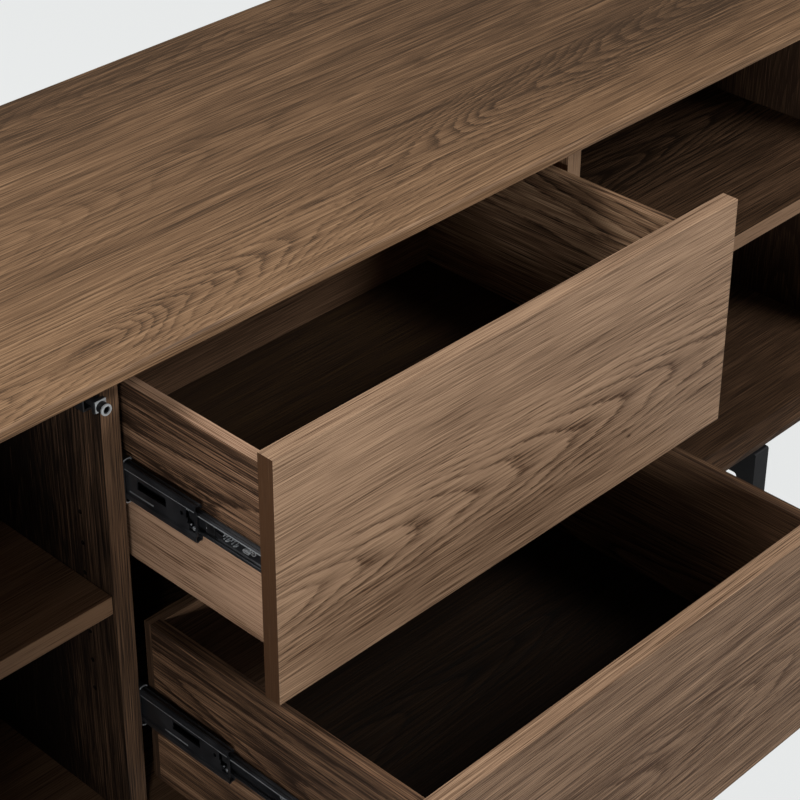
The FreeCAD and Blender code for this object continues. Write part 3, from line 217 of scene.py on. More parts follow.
@dataclass(frozen=True)
class OakVeneer:
    """Walnut-stained oak veneer, sliced and lacquered.

    The stain sinks into the open pores of the spring wood, so each growth ring shows as a ragged
    dark line with short dashes, and between them the summer wood is paler and smooth.
    """

    name: str
    grain: Grain
    across: Grain
    pale: str
    mid: str
    dark: str
    leaves: tuple[Leaf, ...]
    swirls: tuple[Swirl, ...] = ()
    shades: tuple[Swirl, ...] = ()
    ring: float = 3.2
    figure: float = 0.5
    pores: float = 0.45
    shift: float = 0.0
    end_tone: float = 0.75
    edge_tone: float = 0.1
    # a face painted darker as shade: which side it is, and how much darker
    painted_shade_side: int = 0
    painted_shade_tone: float = 0.0
    knot: tuple[float, float] | None = None

    def maths(self, tree: bpy.types.NodeTree, kind: str, *values: Any) -> bpy.types.NodeSocket:
        """Add one sum to a tree and give its result."""
        return add(tree, "ShaderNodeMath", dict(enumerate(values)), operation=kind).outputs[0]

    def stepped(self, tree: bpy.types.NodeTree, across: bpy.types.NodeSocket,
                values: Sequence[float]) -> bpy.types.NodeSocket | float:
        """Give each leaf its own value.

        Args:
            tree: The material's node tree.
            across: The place across the board, in millimetres.
            values: The value of each leaf in turn.

        Returns:
            The value at the place, as a number where all the leaves share it.
        """
        result: bpy.types.NodeSocket | float = values[0]
        for leaf, before, after in zip(self.leaves[1:], values, values[1:]):
            if before == after:
                continue
            past = self.maths(tree, "GREATER_THAN", across, leaf.seam)
            result = self.maths(tree, "MULTIPLY_ADD", past, after - before, result)
        return result

    def noise(self, tree: bpy.types.NodeTree, place: bpy.types.NodeSocket,
              pitch: tuple[float, float, float], detail: float = 2.0,
              seed: float = 0.0) -> bpy.types.NodeSocket:
        """Make noise whose grains have a real size along, across and through the board.

        Args:
            tree: The material's node tree.
            place: The place on the board, in millimetres along, across and through it.
            pitch: The grains' size in millimetres in those directions.
            detail: How many finer layers are added.
            seed: A shift that makes this noise its own.

        Returns:
            The noise, from 0 to 1 and mostly near a half.
        """
        scale = (1 / pitch[0], 1 / pitch[1], 1 / pitch[2])
        start = (seed + self.shift, seed * 1.7, seed * 0.6)
        moved = add(tree, "ShaderNodeMapping", {"Vector": place, "Scale": scale,
                                                "Location": start})
        grains = add(tree, "ShaderNodeTexNoise", {"Vector": moved.outputs[0], "Scale": 1.0,
                                                  "Detail": detail, "Roughness": 0.55})
        return grains.outputs["Fac"]

    def patch(self, tree: bpy.types.NodeTree, along: bpy.types.NodeSocket,
              wide: bpy.types.NodeSocket, swirl: Swirl, total: Any) -> bpy.types.NodeSocket:
        """Add a swirl's soft oval to a value.

        Args:
            tree: The material's node tree.
            along: The place along the grain.
            wide: The place across it.
            swirl: The oval.
            total: The value so far.

        Returns:
            The value with the oval.
        """
        dx = self.maths(tree, "SUBTRACT", along, swirl.along)
        dx = self.maths(tree, "DIVIDE", dx, swirl.length)
        dy = self.maths(tree, "SUBTRACT", wide, swirl.across)
        dy = self.maths(tree, "DIVIDE", dy, swirl.width)
        square = self.maths(tree, "MULTIPLY", dx, dx)
        square = self.maths(tree, "MULTIPLY_ADD", dy, dy, square)
        hill = self.maths(tree, "POWER", math.exp(-1.0), square)
        return self.maths(tree, "MULTIPLY_ADD", hill, swirl.amount, total)

    def lay(self, tree: bpy.types.NodeTree) -> tuple[Sequence[bpy.types.NodeSocket],
                                                     bpy.types.NodeSocket]:
        """Find the place on the board, and turn the grain on its edges and its ends.

        The face that looks outward, at 1, or towards the sideboard's middle, at -1, can be painted
        darker as shade.

        Args:
            tree: The material's node tree.

        Returns:
            The place along, across and through the board in millimetres, and the tone that an edge,
            an end or a face painted darker as shade adds.
        """
        coordinates = add(tree, "ShaderNodeTexCoord")
        sized = add(tree, "ShaderNodeVectorMath",
                    {0: coordinates.outputs["Object"], "Scale": 1000.0}, operation="SCALE")
        axes = add(tree, "ShaderNodeSeparateXYZ", {0: sized.outputs["Vector"]}).outputs
        third = ({"X", "Y", "Z"} - {self.grain.value, self.across.value}).pop()
        along, wide, deep = (axes[a] for a in (self.grain.value, self.across.value, third))
        face = add(tree, "ShaderNodeSeparateXYZ", {0: coordinates.outputs["Normal"]}).outputs
        laid = add(tree, "ShaderNodeCombineXYZ", {0: along, 1: wide, 2: deep}).outputs[0]
        end, edge = (
            self.maths(tree, "GREATER_THAN", self.maths(tree, "ABSOLUTE", face[axis.value]), least)
            for axis, least in ((self.grain, END_NORMAL), (self.across, EDGE_NORMAL)))
        for chosen, order in ((edge, (along, deep, wide)), (end, (wide, deep, along))):
            other = add(tree, "ShaderNodeCombineXYZ", dict(enumerate(order))).outputs[0]
            mixed = add(tree, "ShaderNodeMix", {"Factor": chosen, "A": laid, "B": other},
                        data_type="VECTOR")
            laid = mixed.outputs["Result"]
        turned = add(tree, "ShaderNodeSeparateXYZ", {0: laid}).outputs
        tone = self.maths(tree, "MULTIPLY", edge, self.edge_tone)
        if self.painted_shade_side:
            facing = self.maths(tree, "MULTIPLY", deep, face[third])
            outward = self.maths(tree, "MULTIPLY", facing, self.painted_shade_side)
            painted_shade = self.maths(tree, "GREATER_THAN", outward, 1.0)
            tone = self.maths(tree, "MULTIPLY_ADD", painted_shade, self.painted_shade_tone, tone)
            # the walls of the support holes are painted dark as the shade inside them
            tilt = self.maths(tree, "ABSOLUTE", face[third])
            hole = self.maths(tree, "LESS_THAN", tilt, HOLE_WALL_NORMAL)
            for value, (middle, half) in zip((wide, along), HOLE_STRETCHES):
                inside = self.maths(tree, "COMPARE", value, middle, half)
                hole = self.maths(tree, "MULTIPLY", hole, inside)
            tone = self.maths(tree, "ADD", tone, hole)
        tone = self.maths(tree, "MULTIPLY_ADD", end, self.end_tone, tone)
        return [turned[k] for k in range(3)], tone

    def rings(self, tree: bpy.types.NodeTree, along: bpy.types.NodeSocket,
              wide: bpy.types.NodeSocket, place: bpy.types.NodeSocket) -> bpy.types.NodeSocket:
        """Cut the growth rings, which are cones round the tree's heart, by the board's face.

        Args:
            tree: The material's node tree.
            along: The place along the grain.
            wide: The place across it.
            place: The place as a vector, moved along for each leaf.

        Returns:
            The darkness of the rings, from 0 to 1.
        """
        heart, reach, taper, lean, ragged, swell = (
            self.stepped(tree, wide, row) for row in zip(*(
                (leaf.heart, leaf.depth ** 2, leaf.taper, leaf.lean, leaf.ragged, leaf.swell)
                for leaf in self.leaves)))
        off = self.maths(tree, "SUBTRACT", wide, heart)
        off = self.maths(tree, "SUBTRACT", off, self.maths(tree, "MULTIPLY", along, lean))
        sway = self.noise(tree, place, SWAY_PITCH, 1.0, 3.1)
        off = self.maths(tree, "MULTIPLY_ADD", sway, SWAY, off)
        off = self.maths(tree, "SUBTRACT", off, SWAY / 2)
        radius = self.maths(tree, "SQRT", self.maths(tree, "MULTIPLY_ADD", off, off, reach))
        cone = self.maths(tree, "MULTIPLY_ADD", along, taper, radius)
        for swirl in self.swirls:
            cone = self.patch(tree, along, wide, swirl, cone)
        crown = add(tree, "ShaderNodeMapRange", {"Value": self.maths(tree, "ABSOLUTE", off),
                                                 "From Min": CROWN_NEAR, "From Max": CROWN_FAR,
                                                 "To Min": 1.0, "To Max": CROWN_FAINT}).outputs[0]
        jagged = self.maths(tree, "MULTIPLY", crown, ragged)
        for pitch, weight, seed in ((SWELL_PITCH, swell, 7.7), (RAGGED_PITCH, jagged, 1.3)):
            waves = self.noise(tree, place, pitch, 1.5, seed)
            cone = self.maths(tree, "MULTIPLY_ADD", waves, weight, cone)
        phase = self.maths(tree, "FRACT", self.maths(tree, "DIVIDE", cone, self.ring))
        lines = stops(tree, phase, ((0.0, "ffffff"), (0.1, "cdcdcd"), (0.42, "808080"),
                                    (0.86, "000000"), (1.0, "ffffff")), smooth=False)
        lines = add(tree, "ShaderNodeRGBToBW", {0: lines}).outputs[0]
        bold = self.stepped(tree, wide, [leaf.bold for leaf in self.leaves])
        return self.maths(tree, "MULTIPLY", lines, self.maths(tree, "MULTIPLY", crown, bold))

    def build(self) -> bpy.types.Material:
        """Build the material's nodes.

        Returns:
            The finished material.
        """
        material, tree, shader = fresh_material(self.name)
        (along, wide, deep), rim = self.lay(tree)
        leaf_shift = self.stepped(tree, wide, [LEAF_SHIFT * k for k in range(len(self.leaves))])
        run = self.maths(tree, "ADD", along, leaf_shift)
        place = add(tree, "ShaderNodeCombineXYZ", {0: run, 1: wide, 2: deep}).outputs[0]
        rings = self.rings(tree, along, wide, place)

        # fibres, pores and broad clouds of stain
        fibre = self.noise(tree, place, FIBRE_PITCH, 1.0, 11.0)
        dashes = self.noise(tree, place, PORE_PITCH, 1.0, 17.0)
        pore = add(tree, "ShaderNodeMapRange", {"Value": dashes, "From Min": PORE_FROM,
                                                "From Max": PORE_FULL}).outputs[0]
        gate = self.maths(tree, "MULTIPLY_ADD", rings, 0.7, 0.5)
        pore = self.maths(tree, "MULTIPLY", pore, gate)
        cloud = self.noise(tree, place, CLOUD_PITCH, 2.0, 23.0)
        streak = self.noise(tree, place, STREAK_PITCH, 2.0, 29.0)

        # darkness adds these up: 0 is the pale summer wood, 1 the darkest pore
        total = self.stepped(tree, wide, [leaf.tone for leaf in self.leaves])
        for swirl in self.shades:
            total = self.patch(tree, along, wide, swirl, total)
        strength = self.noise(tree, place, BOLD_PITCH, 1.0, 31.0)
        bold = self.maths(tree, "MULTIPLY", strength, self.figure * 1.8)
        total = self.maths(tree, "MULTIPLY_ADD", rings, bold, total)
        for source, weight in ((fibre, FIBRE_WEIGHT), (cloud, CLOUD_WEIGHT),
                               (streak, STREAK_WEIGHT), (pore, self.pores), (rim, 1.0)):
            total = self.maths(tree, "MULTIPLY_ADD", source, weight, total)
        total = self.maths(tree, "SUBTRACT", total, PALE_SUM)
        for leaf in self.leaves[1:]:
            gap = self.maths(tree, "COMPARE", wide, leaf.seam, SEAM_HALF)
            total = self.maths(tree, "MULTIPLY_ADD", gap, SEAM_TONE, total)
        if self.knot:
            total = self.patch(tree, along, wide, Swirl(*self.knot, *KNOT), total)
        colour = stops(tree, total, ((0.0, self.pale), (0.42, self.mid), (1.0, self.dark)),
                       smooth=False)
        tree.links.new(colour, shader.inputs["Base Color"])

        # satin lacquer that follows the open pores
        shader.inputs["Specular IOR Level"].default_value = LACQUER_SHINE
        gloss = add(tree, "ShaderNodeMapRange", {"Value": pore, "To Min": Sheen.EGGSHELL.value,
                                                 "To Max": PORE_ROUGHNESS}).outputs[0]
        tree.links.new(gloss, shader.inputs["Roughness"])
        height = self.maths(tree, "MULTIPLY_ADD", pore, -0.7, fibre)
        bump = add(tree, "ShaderNodeBump", {"Strength": 0.22, "Distance": GRAIN_BUMP,
                                            "Height": height})
        tree.links.new(bump.outputs[0], shader.inputs["Normal"])
        return material


@dataclass(frozen=True)
class MetalFinish:
    """A plated or coated steel whose surface varies a little."""

    name: str
    colour: str
    worn: str
    metallic: float
    sheen: Sheen
    grit: float
    relief: float
    cloud: float = 30.0  # how many grains across the cloudy patches are

    def build(self) -> bpy.types.Material:
        """Build the material's nodes.

        Returns:
            The finished material.
        """
        material, tree, shader = fresh_material(self.name)
        spot = add(tree, "ShaderNodeTexCoord").outputs["Object"]
        grain = add(tree, "ShaderNodeTexNoise", {"Vector": spot, "Scale": 1 / (self.grit * MM),
                                                 "Detail": 3.0})
        cloud = self.grit * self.cloud * MM
        broad = add(tree, "ShaderNodeTexNoise", {"Vector": spot, "Scale": 1 / cloud,
                                                 "Detail": 2.0})
        colour = stops(tree, broad.outputs["Fac"], ((0.35, self.colour), (0.7, self.worn)))
        tree.links.new(colour, shader.inputs["Base Color"])
        rough = add(tree, "ShaderNodeMapRange", {"Value": broad.outputs["Fac"], "From Min": 0.3,
                                                 "From Max": 0.7, "To Min": self.sheen.value - 0.06,
                                                 "To Max": self.sheen.value + 0.08})
        tree.links.new(rough.outputs[0], shader.inputs["Roughness"])
        shader.inputs["Metallic"].default_value = self.metallic
        bump = add(tree, "ShaderNodeBump", {"Strength": self.relief, "Distance": 0.0002,
                                            "Height": grain.outputs["Fac"]})
        tree.links.new(bump.outputs[0], shader.inputs["Normal"])
        return material


@dataclass(frozen=True)
class PlasticFinish:
    """A moulded plastic with the fine texture of its tool."""

    name: str
    colour: str
    shade: str
    sheen: Sheen
    grit: float = 0.6  # mm across the tool's texture
    cloud: float = 14.0  # mm across the patches of another shade

    def build(self) -> bpy.types.Material:
        """Build the material's nodes.

        Returns:
            The finished material.
        """
        material, tree, shader = fresh_material(self.name)
        spot = add(tree, "ShaderNodeTexCoord").outputs["Object"]
        grain = add(tree, "ShaderNodeTexNoise", {"Vector": spot, "Scale": 1 / (self.grit * MM),
                                                 "Detail": 2.0})
        broad = add(tree, "ShaderNodeTexNoise", {"Vector": spot, "Scale": 1 / (self.cloud * MM),
                                                 "Detail": 1.0})
        colour = stops(tree, broad.outputs["Fac"], ((0.35, self.colour), (0.65, self.shade)))
        tree.links.new(colour, shader.inputs["Base Color"])
        shader.inputs["Roughness"].default_value = self.sheen.value
        shader.inputs["IOR"].default_value = 1.53
        bump = add(tree, "ShaderNodeBump", {"Strength": 0.15, "Distance": 0.0001,
                                            "Height": grain.outputs["Fac"]})
        tree.links.new(bump.outputs[0], shader.inputs["Normal"])
        return material


def whole(heart: float, depth: float = 60.0, taper: float = 0.05) -> tuple[Leaf, ...]:
    """Cover a whole board with one leaf, by its heart line, its depth and its taper."""
    return (Leaf(WHOLE_SEAM, heart, depth, taper),)


# Stained oak veneer under satin lacquer. All of it shows dark open pores on warm brown wood; the
# comments say what each board adds to that.
WOODS: tuple[OakVeneer, ...] = (
    # the top: three leaves with a flame along the front and long straight streaks behind it; it is
    # painted lighter at the front left and darker towards the right and the back, as the light
    # falls off across it
    OakVeneer("stained_oak_top", Grain.LENGTH, Grain.DEPTH, "a58363", "806248", "463527",
              (Leaf(-400.0, -150.0, 46.0, 0.0, 0.1, 2.2, 9.0, -0.03),
               Leaf(-73.0, -10.0, 90.0, 0.03, 0.0, 1.2, 6.0, 0.0, 0.4),
               Leaf(88.0, 176.0, 46.0, -0.09, 0.0, 1.2, 6.0, 0.0, 0.5)),
              swirls=(Swirl(60.0, -150.0, 420.0, 200.0, 52.0),
                      Swirl(-278.0, -177.0, 46.0, 26.0, -6.0),
                      Swirl(235.0, -118.0, 60.0, 20.0, -6.0)),
              # the first shade is painted light: lighter at the front left
              shades=(Swirl(-260.0, -190.0, 260.0, 60.0, -0.1),
                      Swirl(0.0, -90.0, 2000.0, 15.0, 0.14),
                      Swirl(0.0, -120.0, 2000.0, 14.0, 0.14),
                      Swirl(0.0, -56.0, 2000.0, 22.0, 0.14),
                      Swirl(0.0, 40.0, 2000.0, 44.0, 0.12),
                      Swirl(0.0, 96.0, 2000.0, 9.0, -0.1),
                      # painted shade: darker towards the right and the back
                      Swirl(600.0, 60.0, 500.0, 300.0, 0.42),
                      Swirl(-60.0, 190.0, 300.0, 110.0, 0.42)), figure=0.46),
    # the drawer fronts: pale boards with a wide flame on each, and a small knot; the lower front's
    # leaf is painted darker, as the shade of the light falling off lower down
    OakVeneer("stained_oak_front", Grain.LENGTH, Grain.HEIGHT, "b99779", "977960", "47301f",
              # the lower front's leaf, painted darker as shade
              (Leaf(-400.0, 118.0, 80.0, 0.05, 0.0, 1.3, 6.0, 0.35, 0.6),
               Leaf(261.0, 357.0, 80.0, 0.043, 0.0, 1.3, 6.0, 0.0)), ring=3.0,
              shades=(Swirl(-120.0, 296.0, 330.0, 34.0, 0.24),
                      Swirl(-200.0, 440.0, 300.0, 30.0, 0.05),
                      Swirl(200.0, 280.0, 130.0, 40.0, -0.12),
                      Swirl(-60.0, 405.0, 260.0, 4.0, -0.14)), edge_tone=-0.3,
              knot=(148.0, 312.5)),
    # the left divider: very dark pores, and painted shade: its face in the left bay, its middle and
    # its lower front edge are darkened as the shade in the left bay
    OakVeneer("stained_oak_upright", Grain.HEIGHT, Grain.DEPTH, "84674f", "664d3a", "140d09",
              whole(-60.0), shift=5.0,
              # painted shade in the left bay: darker in the middle and lower down
              shades=(Swirl(250.0, 20.0, 900.0, 165.0, 0.5),
                      Swirl(40.0, -150.0, 190.0, 400.0, 0.12)), painted_shade_side=1, painted_shade_tone=0.4),
    # the right divider: the lit copy of the divider's veneer, paler, with its front edge painted
    # light
    OakVeneer("stained_oak_lit_upright", Grain.HEIGHT, Grain.DEPTH, "a07f62", "7e6149", "33241a",
              whole(-60.0), shift=45.0, edge_tone=-0.35),
    # the ends and the door: their faces towards the sideboard's middle are painted darker as shade
    OakVeneer("stained_oak_end", Grain.HEIGHT, Grain.DEPTH, "8f7056", "715640", "33241a",
              whole(-60.0), shift=6.0, painted_shade_side=-1, painted_shade_tone=0.6),
    # the bottom and the left shelf: painted darker under the right bay as its shade, with a lighter
    # front edge
    OakVeneer("stained_oak_shelf", Grain.LENGTH, Grain.DEPTH, "86684f", "6a4f3a", "38281c",
              whole(20.0), shift=9.0,
              # painted shade under the right bay
              shades=(Swirl(570.0, 20.0, 400.0, 300.0, 0.6),), edge_tone=-0.3),
    # the right shelf: darker streaks, painted darker to the right as the shade in the right bay,
    # and its front edge painted pale as lit
    OakVeneer("stained_oak_right_shelf", Grain.LENGTH, Grain.DEPTH, "8d6e54", "6a4f3a", "241910",
              whole(20.0), shift=49.0,
              shades=(Swirl(570.0, 40.0, 430.0, 210.0, 0.5),), edge_tone=-0.7),
    # the back panel: even and dark
    OakVeneer("stained_oak_back", Grain.LENGTH, Grain.HEIGHT, "6b513d", "533d2d", "2c1f16",
              whole(250.0), shift=13.0),
    # the upper drawer's left side: bold bands above and a pale plain leaf below, the upper leaf's
    # darkness partly its own tone and partly painted shade; a thin band under its top edge near the
    # case is painted darker as the top's shadow
    OakVeneer("stained_oak_upper_side", Grain.DEPTH, Grain.HEIGHT, "b8957a", "80614a", "2a1c13",
              (Leaf(WHOLE_SEAM, 320.0, 90.0, 0.03, 0.0, 1.6, 8.0, -0.3, 0.7),
               Leaf(384.0, 428.0, 26.0, 0.07, 0.08, 5.0, 16.0, 0.36)),
              ring=11.0, shift=21.0, figure=0.42,
              # painted shadow of the top, under the side's top edge near the case
              shades=(Swirl(-200.0, 466.0, 120.0, 9.0, 0.3),
                      Swirl(-250.0, 424.0, 60.0, 14.0, -0.22))),
    # the lower drawer's left side: the same two leaves, painted darker as the shade under the upper
    # drawer
    OakVeneer("stained_oak_lower_side", Grain.DEPTH, Grain.HEIGHT, "a5856a", "7a5c45", "2a1c13",
              (Leaf(WHOLE_SEAM, 80.0, 90.0, 0.03, 0.0, 1.6, 8.0, 0.25, 0.7),
               Leaf(141.0, 200.0, 26.0, 0.07, 0.08, 3.4, 12.0, 0.4)),
              ring=8.5, shift=24.0, figure=0.5),
    # the upper drawer's right side: a board painted pale, its upper leaf palest, for the light that
    # falls on its inner face, with broad dark bands near its top
    OakVeneer("stained_oak_upper_right", Grain.DEPTH, Grain.HEIGHT, "c8a684", "8a6a50", "2a1c13",
              (Leaf(WHOLE_SEAM, 200.0, 60.0, 0.03, 0.0, 2.0, 8.0, 0.15),
               Leaf(400.0, 450.0, 24.0, -0.05, 0.1, 3.0, 12.0, 0.0)),
              ring=9.0, shift=22.0, figure=0.55),
    # the lower drawer's right side: painted dim as the shade under the upper drawer, with a strong
    # figure
    OakVeneer("stained_oak_lower_right", Grain.DEPTH, Grain.HEIGHT, "86684f", "5d4533", "281b13",
              whole(80.0, 60.0, 0.03), shift=26.0, figure=0.7),
    # the drawers' backs and inner fronts: plain and dim
    OakVeneer("stained_oak_drawer_cross", Grain.LENGTH, Grain.HEIGHT, "8a6c54", "694f3b", "36271c",
              whole(400.0, 50.0, 0.04), shift=27.0),
    # the drawers' bottoms: nearly black, the lower one painted darker still as the shade under the
    # upper drawer
    OakVeneer("stained_oak_upper_floor", Grain.LENGTH, Grain.DEPTH, "44321f", "302218", "1a120c",
              whole(-200.0), shift=33.0),
    OakVeneer("stained_oak_lower_floor", Grain.LENGTH, Grain.DEPTH, "2e2117", "1f160f", "110c08",
              whole(-300.0), shift=37.0),
    # beech dowels and splines: pale, plain wood with hardly any pores
    OakVeneer("beech", Grain.LENGTH, Grain.HEIGHT, "d8b48a", "c89f73", "a67d55",
              whole(0.0, 60.0, 0.02), figure=0.2, pores=0.2),
)
METALS: tuple[MetalFinish, ...] = (
    # powder-coated steel: a fine matt skin that swallows highlights
    MetalFinish("powder_coated_steel", "17171a", "1e1e21", 0.0, Sheen.MATT, 0.5, 0.25),
    # black zinc-plated steel: dark, with sharp bright glints along its folds
    MetalFinish("black_zinc_steel", "232427", "303134", 0.35, Sheen.SATIN, 0.8, 0.08),
    # bright zinc plate: pale metal with a faint cloudy bloom
    MetalFinish("zinc_plated_steel", "c6c9cc", "a9adb1", 0.6, Sheen.SATIN, 0.7, 0.08),
    # bright steel for the stop's rivets, and for the painted highlights: thin bright strips that
    # stand in for the glints along the slides' folds and front ends
    MetalFinish("rivet_steel_and_painted_highlights", "a4a8ab", "86898d", 0.5, Sheen.SATIN, 0.6, 0.05),
)
PLASTICS: tuple[PlasticFinish, ...] = (
    # moulded acetal: smooth and slightly waxy, in black and in a greyish white
    PlasticFinish("black_acetal", "101012", "18181a", Sheen.EGGSHELL),
    PlasticFinish("white_acetal", "b2b5b7", "a4a8aa", Sheen.EGGSHELL),
)


@dataclass
class FinishBook:
    """All the finishes of the sideboard, built once and handed out by name."""

    made: dict[str, bpy.types.Material] = field(default_factory=dict)

    def build(self) -> None:
        """Build every finish."""
        for finish in (*WOODS, *METALS, *PLASTICS):
            self.made[finish.name] = finish.build()

    def dress(self, piece: bpy.types.Object, name: str) -> None:
        """Give a piece one finish through its object's slots.

        Args:
            piece: The piece.
            name: The name of the finish.
        """
        if not piece.material_slots:
            piece.data.materials.append(self.made[name])
        for slot in piece.material_slots:
            slot.link = "OBJECT"
            slot.material = self.made[name]


SLIDE_STEEL = "black_zinc_steel"
PLATED_STEEL = "zinc_plated_steel"
# bright steel of the rivets and of the painted highlights
RIVET_AND_HIGHLIGHT_STEEL = "rivet_steel_and_painted_highlights"
BLACK_PLASTIC = "black_acetal"
WHITE_PLASTIC = "white_acetal"
FINISH_BY_NODE: dict[str, str] = {
    "top_panel": "stained_oak_top",
    "bottom_panel": "stained_oak_shelf",
    "left_end_panel": "stained_oak_end",
    "right_end_panel": "stained_oak_end",
    "left_divider": "stained_oak_upright",
    "right_divider": "stained_oak_lit_upright",
    "door": "stained_oak_end",
    "back_panel": "stained_oak_back",
    "left_shelf": "stained_oak_shelf",
    "right_shelf": "stained_oak_right_shelf",
    "mitre_splines": "beech",
    "divider_dowels": "beech",
    "left_leg_frame": "powder_coated_steel",
    "right_leg_frame": "powder_coated_steel",
    "leg_glides": BLACK_PLASTIC,
    "latch_body": BLACK_PLASTIC,
    "latch_nose": BLACK_PLASTIC,
    "latch_ring": WHITE_PLASTIC,
}
DRAWER_FINISHES: dict[str, str] = {
    "front": "stained_oak_front",
    # each level has its own copy: the lower drawer's sides and bottom are painted darker as shade
    "left_side": "stained_oak_%s_side",
    "right_side": "stained_oak_%s_right",
    "back": "stained_oak_drawer_cross",
    "inner_front": "stained_oak_drawer_cross",
    "bottom": "stained_oak_%s_floor",
    "release_levers": BLACK_PLASTIC,
}
ROUND_ANGLE = 50.0  # degrees: rounds the rims of turned shapes, but not their flat sides


class Bench:
    """The modelling bench: steps done as by hand, with Blender's own operators, in millimetres."""

    @staticmethod
    def clear() -> None:
        """Leave edit mode and deselect everything."""
        if bpy.context.mode != "OBJECT":
            bpy.ops.object.mode_set(mode="OBJECT")
        bpy.ops.object.select_all(action="DESELECT")

    @staticmethod
    def take(piece: bpy.types.Object) -> None:
        """Make one piece the selected and active one.

        Args:
            piece: The piece.
        """
        Bench.clear()
        piece.select_set(True)
        bpy.context.view_layer.objects.active = piece

    @staticmethod
    def settle() -> bpy.types.Object:
        """Put the active piece's place, turn and scale into its mesh, and give the piece."""
        bpy.ops.object.transform_apply(location=True, rotation=True, scale=True)
        return bpy.context.object

    @staticmethod
    def pick(wanted: Callable[[Any], bool], kind: str = "faces") -> None:
        """Select the faces, edges or vertices that pass a test, in edit mode.

        Args:
            wanted: The test of one mesh element.
            kind: Which elements are tested.
        """
        bpy.ops.mesh.select_mode(type={"faces": "FACE", "edges": "EDGE", "verts": "VERT"}[kind])
        bpy.ops.mesh.select_all(action="DESELECT")
        shape = bmesh.from_edit_mesh(bpy.context.object.data)
        for element in getattr(shape, kind):
            element.select_set(bool(wanted(element)))
        shape.select_flush_mode()
        bmesh.update_edit_mesh(bpy.context.object.data)

    @staticmethod
    def sink(wanted: Callable[[Any], bool], inset: float, step: Sequence[float]) -> None:
        """Inset the active piece's faces that pass a test, and move them.

        Args:
            wanted: The test of one face.
            inset: How far the faces are inset.
            step: How far they move along X, Y and Z.
        """
        bpy.ops.object.mode_set(mode="EDIT")
        Bench.pick(wanted)
        bpy.ops.mesh.inset(thickness=inset * MM)
        bpy.ops.transform.translate(value=tuple(c * MM for c in step))
        bpy.ops.object.mode_set(mode="OBJECT")

    @staticmethod
    def block(centre: Sequence[float], size: Sequence[float]) -> bpy.types.Object:
        """Add a block.

        Args:
            centre: Its middle.
            size: Its size along X, Y and Z.

        Returns:
            The block.
        """
        Bench.clear()
        bpy.ops.mesh.primitive_cube_add(size=1.0, location=Vector(centre) * MM)
        bpy.context.object.scale = Vector(size) * MM
        return Bench.settle()

    @staticmethod
    def drum(centre: Sequence[float], radius: float, length: float, axis: Grain,
             sides: int = 32) -> bpy.types.Object:
        """Add a cylinder.

        Args:
            centre: Its middle.
            radius: Its radius.
            length: Its length.
            axis: The direction of its axis.
            sides: How many flat sides stand for its round.

        Returns:
            The cylinder.
        """
        turn = {Grain.LENGTH: (0.0, math.pi / 2, 0.0), Grain.DEPTH: (math.pi / 2, 0.0, 0.0),
                Grain.HEIGHT: (0.0, 0.0, 0.0)}[axis]
        Bench.clear()
        bpy.ops.mesh.primitive_cylinder_add(vertices=sides, radius=radius * MM, depth=length * MM,
                                            location=Vector(centre) * MM, rotation=turn)
        return Bench.settle()

    @staticmethod
    def ball(centre: Sequence[float], radius: float) -> bpy.types.Object:
        """Add a small ball.

        Args:
            centre: Its middle.
            radius: Its radius.

        Returns:
            The ball.
        """
        Bench.clear()
        bpy.ops.mesh.primitive_ico_sphere_add(subdivisions=2, radius=radius * MM,
                                              location=Vector(centre) * MM)
        return Bench.settle()

    @staticmethod
    def fold(points: Sequence[tuple[float, float]], length: float,
             wall: float) -> bpy.types.Object:
        """Fold a steel strip along a row of places across it, and give it its thickness.

        Args:
            points: Places of the strip's middle line, as x and z.
            length: Length of the strip, which runs from the origin along Y.
            wall: Thickness of the steel.

        Returns:
            The folded strip.
        """
        Bench.clear()
        x, z = points[0]
        middle = Vector((x + length / 2, length / 2, z)) * MM
        bpy.ops.mesh.primitive_plane_add(size=length * MM, location=middle)
        piece = Bench.settle()
        bpy.ops.object.mode_set(mode="EDIT")
        Bench.pick(lambda v: v.co.x > (x + length / 2) * MM, "verts")
        bpy.ops.mesh.delete(type="VERT")
        bpy.ops.mesh.select_all(action="SELECT")
        for (x0, z0), (x1, z1) in zip(points, points[1:]):
            step = Vector((x1 - x0, 0.0, z1 - z0)) * MM
            bpy.ops.mesh.extrude_edges_move(TRANSFORM_OT_translate={"value": step})
        bpy.ops.mesh.select_all(action="SELECT")
        bpy.ops.mesh.normals_make_consistent(inside=False)
        bpy.ops.object.mode_set(mode="OBJECT")
        Bench.finish_with(piece, "SOLIDIFY", thickness=wall * MM, offset=0.0,
                          use_even_offset=True)
        return piece

    @staticmethod
    def finish_with(piece: bpy.types.Object, kind: str, **settings: Any) -> None:
        """Put a modifier on a piece and apply it.

        Args:
            piece: The piece.
            kind: Blender's name of the modifier.
            **settings: The modifier's own settings.
        """
        Bench.take(piece)
        modifier = piece.modifiers.new(kind.lower(), kind)
        for name, value in settings.items():
            setattr(modifier, name, value)
        bpy.ops.object.modifier_apply(modifier=modifier.name)

    @staticmethod
    def soften(piece: bpy.types.Object, width: float, segments: int = 2,
               angle: float = 35.0) -> bpy.types.Object:
        """Round the sharp edges of a piece.

        Args:
            piece: The piece.
            width: How much of each side the rounding takes.
            segments: How many facets it has.
            angle: The angle in degrees past which an edge is sharp.

        Returns:
            The piece.
        """
        Bench.finish_with(piece, "BEVEL", width=width * MM, segments=segments,
                          limit_method="ANGLE", angle_limit=math.radians(angle))
        return piece

